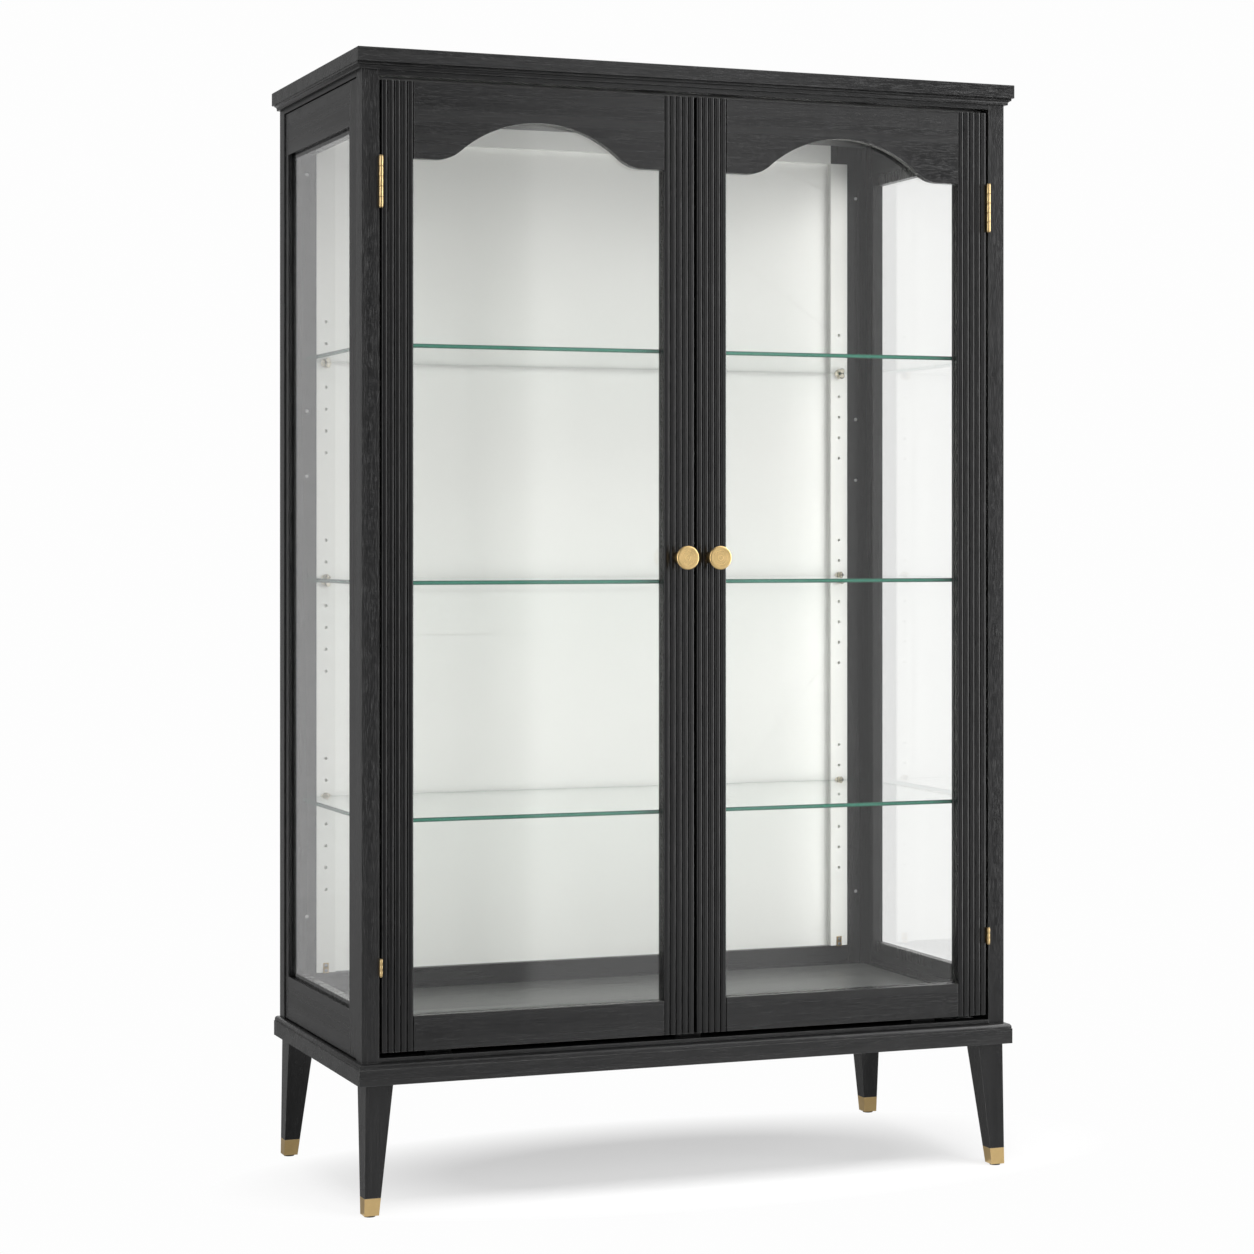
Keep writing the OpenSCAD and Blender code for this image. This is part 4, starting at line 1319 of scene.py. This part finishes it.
@dataclass
class Door:
    """A glazed door: reeded stiles, an arched top rail, a turned knob and hinges."""

    shop: Workshop
    fittings: Fittings
    side: Side
    reeds: int = 5
    groove_wide: float = 3.4 * MM
    groove_deep: float = 3.0 * MM
    crown: float = 2.0 * MM
    flatness: float = 3.2
    rebate: float = 8 * MM
    rebate_deep: float = 12 * MM
    ease: float = 0.9 * MM
    knob_rim: float = 3.8 * MM
    knob_foot: float = 9.0 * MM
    knob_neck: float = 7.4 * MM
    stile_ease: float = 1.4 * MM
    steps: int = 24
    bolt_stem: float = 2 * MM
    bolt_head: float = 1.6 * MM

    def node(self, part: str) -> str:
        """The full name of one of the door's nodes."""
        return f"{self.side.word}_door_{part}"

    def build(self) -> None:
        """Builds the stiles, the knob and the screws."""
        finishes = self.shop.finishes
        for part, mesh, finish in (
            ("hinge_stile", self.stile("hinge_stile", False), finishes.reeded),
            ("meeting_stile", self.stile("meeting_stile", True), finishes.reeded),
            ("knob", self.knob(), finishes.knob[self.side]),
            ("screws", self.screws(), finishes.brass),
        ):
            self.shop.take_over(self.node(part), mesh, (finish,))

    def dress(self) -> None:
        """Finishes the rails, beads, pane and hinges."""
        finishes = self.shop.finishes
        for part, finish, ease, segments in (
            ("top_rail", finishes.wood[Grain.X], self.ease, 3),
            ("bottom_rail", finishes.wood[Grain.X], self.ease, 3),
            ("beads", finishes.wood[Grain.Z], THIN_EASE, 2),
            ("glass", finishes.pane, GLASS_EASE, 1),
            ("hinge_leaves", finishes.hinge, HINGE_EASE, 2),
        ):
            self.shop.coat((self.node(part),), finish, ease, segments)

    def stile(self, part: str, inner: bool) -> Mesh:
        """One reeded stile.

        Args:
            part: The stile's part of its node's name.
            inner: True for the stile beside the other door.

        Returns:
            The mesh.
        """
        node = self.node(part)
        low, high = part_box(node)
        grown = grow(
            node,
            self.shop.stile,
            {
                "Width": high.x - low.x,
                "Depth": high.y - low.y,
                "Height": high.z - low.z,
                "Groove Width": self.groove_wide,
                "Groove Depth": self.groove_deep,
                "Crown": self.crown,
                "Flatness": self.flatness,
                "Rebate": self.rebate,
                "Rebate Depth": self.rebate_deep,
                "Ease": self.stile_ease,
                "Reeds": self.reeds,
                "Steps": self.steps,
                "Material": self.shop.finishes.reeded,
            },
        )
        outward = self.side.value * (-1 if inner else 1)
        start = low.x if outward > 0 else high.x
        work = bmesh.new()
        work.from_mesh(grown)
        place = Matrix.Translation((start, low.y, low.z)) @ Matrix.Diagonal((outward, 1, 1, 1))
        bmesh.ops.transform(work, matrix=place, verts=work.verts)
        mesh = mesh_from(work, node)
        smooth(mesh, 30.0)
        return mesh

    def knob(self) -> Mesh:
        """The turned knob: a foot, a flared neck and a disc with a soft rim and a dished face.

        Returns:
            The mesh.
        """
        low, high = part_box(self.node("knob"))
        r, out, rim = (high.x - low.x) / 2, high.y - low.y, self.knob_rim
        profile = [
            (self.knob_foot * 0.96, 0.0),
            (self.knob_foot, 0.6 * MM),
            (self.knob_foot, out * 0.10),
            (self.knob_foot * 0.93, out * 0.14),
            (self.knob_neck, out * 0.22),
            (self.knob_neck * 0.98, out * 0.30),
            (self.knob_neck + 0.3 * MM, out * 0.42),
            (self.knob_neck + 1.2 * MM, out * 0.60),
            (self.knob_neck + 2.6 * MM, out - rim - 3.2 * MM),
            (r * 0.66, out - rim - 1.2 * MM),
            (r * 0.86, out - rim - 0.3 * MM),
            (r - 1 * MM, out - rim),
            (r - 0.2 * MM, out - rim + 0.8 * MM),
            (r, out - rim + 1.4 * MM),
            (r, out - 1.8 * MM),
            (r - 0.25 * MM, out - 1.1 * MM),
            (r - 0.9 * MM, out - 0.45 * MM),
            (r - 1.8 * MM, out - 0.1 * MM),
            (r - 2.8 * MM, out),
            (r * 0.72, out - 0.12 * MM),
            (r * 0.45, out - 0.45 * MM),
            (r * 0.20, out - 0.6 * MM),
            (r * 0.02, out - 0.62 * MM),
        ]
        middle = Vector(((low.x + high.x) / 2, high.y, (low.z + high.z) / 2))
        place = Matrix.Translation(middle) @ Matrix.Rotation(math.radians(90), 4, "X")
        return turned(self.node("knob"), profile, place)

    def screws(self) -> Mesh:
        """Hinge screws, the knob's bolt and the catch plate on the back of the door.

        Returns:
            The mesh.
        """
        boxes = shells(self.shop.frame["nodes"][self.node("screws")])
        plate = max(boxes, key=lambda box: box[0].z)
        bolt = max(boxes, key=lambda box: box[1].y - box[0].y)
        hinge = [box for box in boxes if box not in (plate, bolt)]
        parts = [self.fittings.hinge_screws(hinge, -1)]
        low, high = bolt
        middle = Vector(((low.x + high.x) / 2, 0, (low.z + high.z) / 2))
        stem, head, thick = self.bolt_stem, (high.x - low.x) / 2, self.bolt_head
        profile = [
            (stem * 0.9, low.y),
            (stem, low.y + 0.4 * MM),
            (stem, high.y - thick),
            (head, high.y - thick),
            (head, high.y - thick * 0.4),
            (head * 0.8, high.y - thick * 0.1),
            (head * 0.4, high.y),
            (head * 0.3, high.y - thick * 0.5),
        ]
        turn = Matrix.Translation(middle) @ Matrix.Rotation(math.radians(-90), 4, "X")
        parts.append(turned("knob_bolt", profile, turn, 24))
        parts.append(eased_box("catch_plate", *plate, PLATE_EASE))
        return join_meshes(self.node("screws"), parts)


# ---- Studio ----


def wall(start: Pair, end: Pair, high: float) -> tuple[Point, ...]:
    """The corners of an upright card, from X and Y of its ends."""
    return (*start, 0.0), (*end, 0.0), (*end, high), (*start, high)


def plate(low: Pair, high: Pair, level: float) -> tuple[Point, ...]:
    """The corners of a level card, from X and Y of its lowest and highest corner."""
    return (*low, level), (high[0], low[1], level), (*high, level), (low[0], high[1], level)


@dataclass(frozen=True)
class Card(Finish):
    """A card that only gloss sees, lit by up to three levels along X or Y.

    From end to end, the level goes from first to second over rise, and on to third over fall.
    """

    corners: tuple[Point, ...]
    first: float
    second: float = 0.0
    third: float = 0.0
    rise: Pair = (8.0, 9.0)
    fall: Pair = (8.0, 9.0)
    axis: int = 0

    def draw(self, sheet: Sheet) -> NodeSocket:
        """The card's glow.

        Args:
            sheet: The material's sheet.

        Returns:
            Its socket.
        """
        place = sheet.split(sheet.here())[self.axis]
        up = sheet.remap(place, *self.rise, self.first, self.second)
        on = sheet.remap(place, *self.fall, 0.0, self.third - self.second)
        return sheet.add("ShaderNodeEmission", {"Strength": sheet.math("ADD", up, on)}).outputs[0]

    def stand(self) -> None:
        """Stands the card in the studio."""
        mesh = bpy.data.meshes.new(self.name)
        mesh.from_pydata(self.corners, [], [tuple(range(len(self.corners)))])
        mesh.materials.append(self.build())
        card = link(self.name, mesh)
        card.visible_camera = card.visible_diffuse = card.visible_transmission = False
        card.visible_shadow = card.visible_volume_scatter = False


@dataclass(frozen=True)
class PaleFloor(Finish):
    """A pale floor that shows the shadow under the case, in an oval, and fades into the surround."""

    white: float
    body: float = 0.8
    shift: Colour = (-0.05, 0.05, 0.0)
    squash: Colour = (1.0, 2.2, 1.0)
    fade: Pair = (0.35, 0.74)
    least_glow: float = 0.48

    def draw(self, sheet: Sheet) -> NodeSocket:
        """The shader of the surface.

        Args:
            sheet: The material's sheet.

        Returns:
            Its socket.
        """
        oval = {"Vector": sheet.here(), "Location": self.shift, "Scale": self.squash}
        place = sheet.add("ShaderNodeMapping", oval).outputs[0]
        length = sheet.add("ShaderNodeVectorMath", {0: place}, operation="LENGTH").outputs["Value"]
        near = sheet.remap(length, *self.fade, 1.0, 0.0)
        seen = sheet.rays("Camera", "Glossy", "Transmission")
        tone = sheet.between(seen, (self.body, 1.0))
        matt = sheet.add("ShaderNodeBsdfDiffuse", {"Color": tone}).outputs[0]
        glow = sheet.add("ShaderNodeEmission", {"Color": (*WHITE, 1.0), "Strength": self.white}).outputs[0]
        return sheet.blend(sheet.product(seen, sheet.between(near, (1.0, self.least_glow))), matt, glow)


@dataclass
class Studio:
    """The floor, the white surround, the lamps, the cards and the camera."""

    floor_reach: float = 14.0
    white: float = 0.985
    ambient: float = 0.30
    front: float = -1.95
    side: float = 2.4
    right_end: float = 1.2
    rear: float = 3.5
    rear_end: float = -0.5
    roof_edge: float = 1.0
    floor_edge: float = -0.2
    low: float = 0.5 * MM
    high: float = 3.2
    tall: float = 5.0
    eye: Point = (-1.6796, -4.32, 0.9599)
    turn: float = -20.963
    lens: float = 86.36
    film: float = 36.0
    shift: float = -0.0710

    def build(self) -> None:
        """Builds the floor, the world, the lamps, the cards and the camera."""
        self.world()
        self.floor()
        self.lamp("left_softbox", (-3.2, -2.2, 2.3), (0.0, 0.0, 0.9), (2.6, 2.6), 6.0)
        self.lamp("right_softbox", (2.98, -3.65, 1.75), (0.0, 0.0, 1.75), (4.0, 3.4), 225.0)
        self.lamp("top_softbox", (0.0, -1.4, 4.2), (0.0, 0.0, 0.8), (3.2, 2.4), 160.0)
        self.lamp("front_softbox", (-0.8, -5.2, 1.5), (0.0, 0.0, 0.9), (3.0, 2.4), 43.0)
        self.cards()
        self.camera()

    def cards(self) -> None:
        """Stands the cards that the glass, lacquer and brass reflect."""
        front, side, rear, high, tall = self.front, self.side, self.rear, self.high, self.tall
        across, beside = wall((-side, front), (side, front), high), wall((-side, front), (-side, rear), tall)
        for card in (
            Card("front_card", across, 0.22, 1.15, 0.45, (0.33, 0.365), (0.90, 1.05)),
            Card("left_card", beside, 3.2, 0.35, 0.35, (-0.9, -0.5), axis=1),
            Card("rear_card", wall((-side, rear), (self.rear_end, rear), tall), 0.36),
            Card("right_card", wall((side, front), (side, self.right_end), high), 4.5),
            Card("top_card", plate((-side, front), (side, self.roof_edge), high), 0.2, 2.2, 2.2, (-0.6, 0.9)),
            Card("rear_roof_card", plate((-side, self.roof_edge), (self.rear_end, rear), high), 0.30),
            Card("front_floor_card", plate((-side, front), (side, self.floor_edge), self.low), 0.72),
            Card("floor_card", plate((-side, self.floor_edge), (side, rear), self.low), 0.32),
        ):
            card.stand()

    def world(self) -> None:
        """Makes a white surround that lights the object softly."""
        world = bpy.data.worlds.new("white_surround")
        world.use_nodes = True
        world.node_tree.nodes.clear()
        sheet = Sheet(world.node_tree)
        level = sheet.between(sheet.rays("Camera", "Glossy", "Transmission"), (self.ambient, self.white))
        sky = sheet.add("ShaderNodeBackground", {"Color": (*WHITE, 1.0), "Strength": level})
        sheet.tree.links.new(sky.outputs[0], sheet.add("ShaderNodeOutputWorld").inputs[0])
        bpy.context.scene.world = world

    def floor(self) -> None:
        """Lays the floor."""
        work = bmesh.new()
        bmesh.ops.create_grid(work, x_segments=4, y_segments=4, size=self.floor_reach)
        mesh = bpy.data.meshes.new("studio_floor")
        work.to_mesh(mesh)
        work.free()
        mesh.materials.append(PaleFloor("pale_floor", self.white).build())
        link("studio_floor", mesh)

    def lamp(self, name: str, at: Sequence[float], aim: Sequence[float], size: Pair, power: float) -> None:
        """Adds a soft area lamp that gloss doesn't see.

        Args:
            name: The lamp's name.
            at: Where it stands.
            aim: The point that it faces.
            size: Its width and height.
            power: Its power in watts.
        """
        light = bpy.data.lights.new(name, "AREA")
        light.shape = "RECTANGLE"
        light.size, light.size_y = size
        light.energy = power
        lamp = link(name, light)
        lamp.location = at
        lamp.rotation_euler = (Vector(aim) - Vector(at)).to_track_quat("-Z", "Y").to_euler()
        lamp.visible_glossy = lamp.visible_transmission = False

    def camera(self) -> None:
        """Adds the camera, level and to the left of the doors."""
        data = bpy.data.cameras.new("camera")
        data.lens, data.sensor_width, data.shift_y = self.lens, self.film, self.shift
        camera = link("camera", data)
        camera.location = self.eye
        camera.rotation_euler = (math.radians(90), 0.0, math.radians(self.turn))
        bpy.context.scene.camera = camera


def middle_of(node: str) -> Vector:
    """The middle of a CAD node's box."""
    return sum(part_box(node), Vector()) / 2


def main() -> None:
    """Builds and dresses the showcase, one sub-assembly after another."""
    logging.basicConfig(level=logging.INFO, format="%(name)s: %(message)s")
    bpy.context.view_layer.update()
    scene = bpy.context.scene
    scene.view_settings.view_transform = "Standard"
    knobs = {side: middle_of(f"{side.word}_door_knob") for side in Side}
    levels = tuple(middle_of(node).z for node in Shelves.NODES)
    shop = Workshop(frame, Finishes(levels, knobs))
    fittings = Fittings(shop)
    for section in (Carcase(shop), Back(shop), Stand(shop)):
        section.dress()
    Shelves(shop).build()
    fittings.dress()
    for side in Side:
        door = Door(shop, fittings, side)
        door.build()
        door.dress()
    Studio().build()


if __name__ == "__main__":
    main()
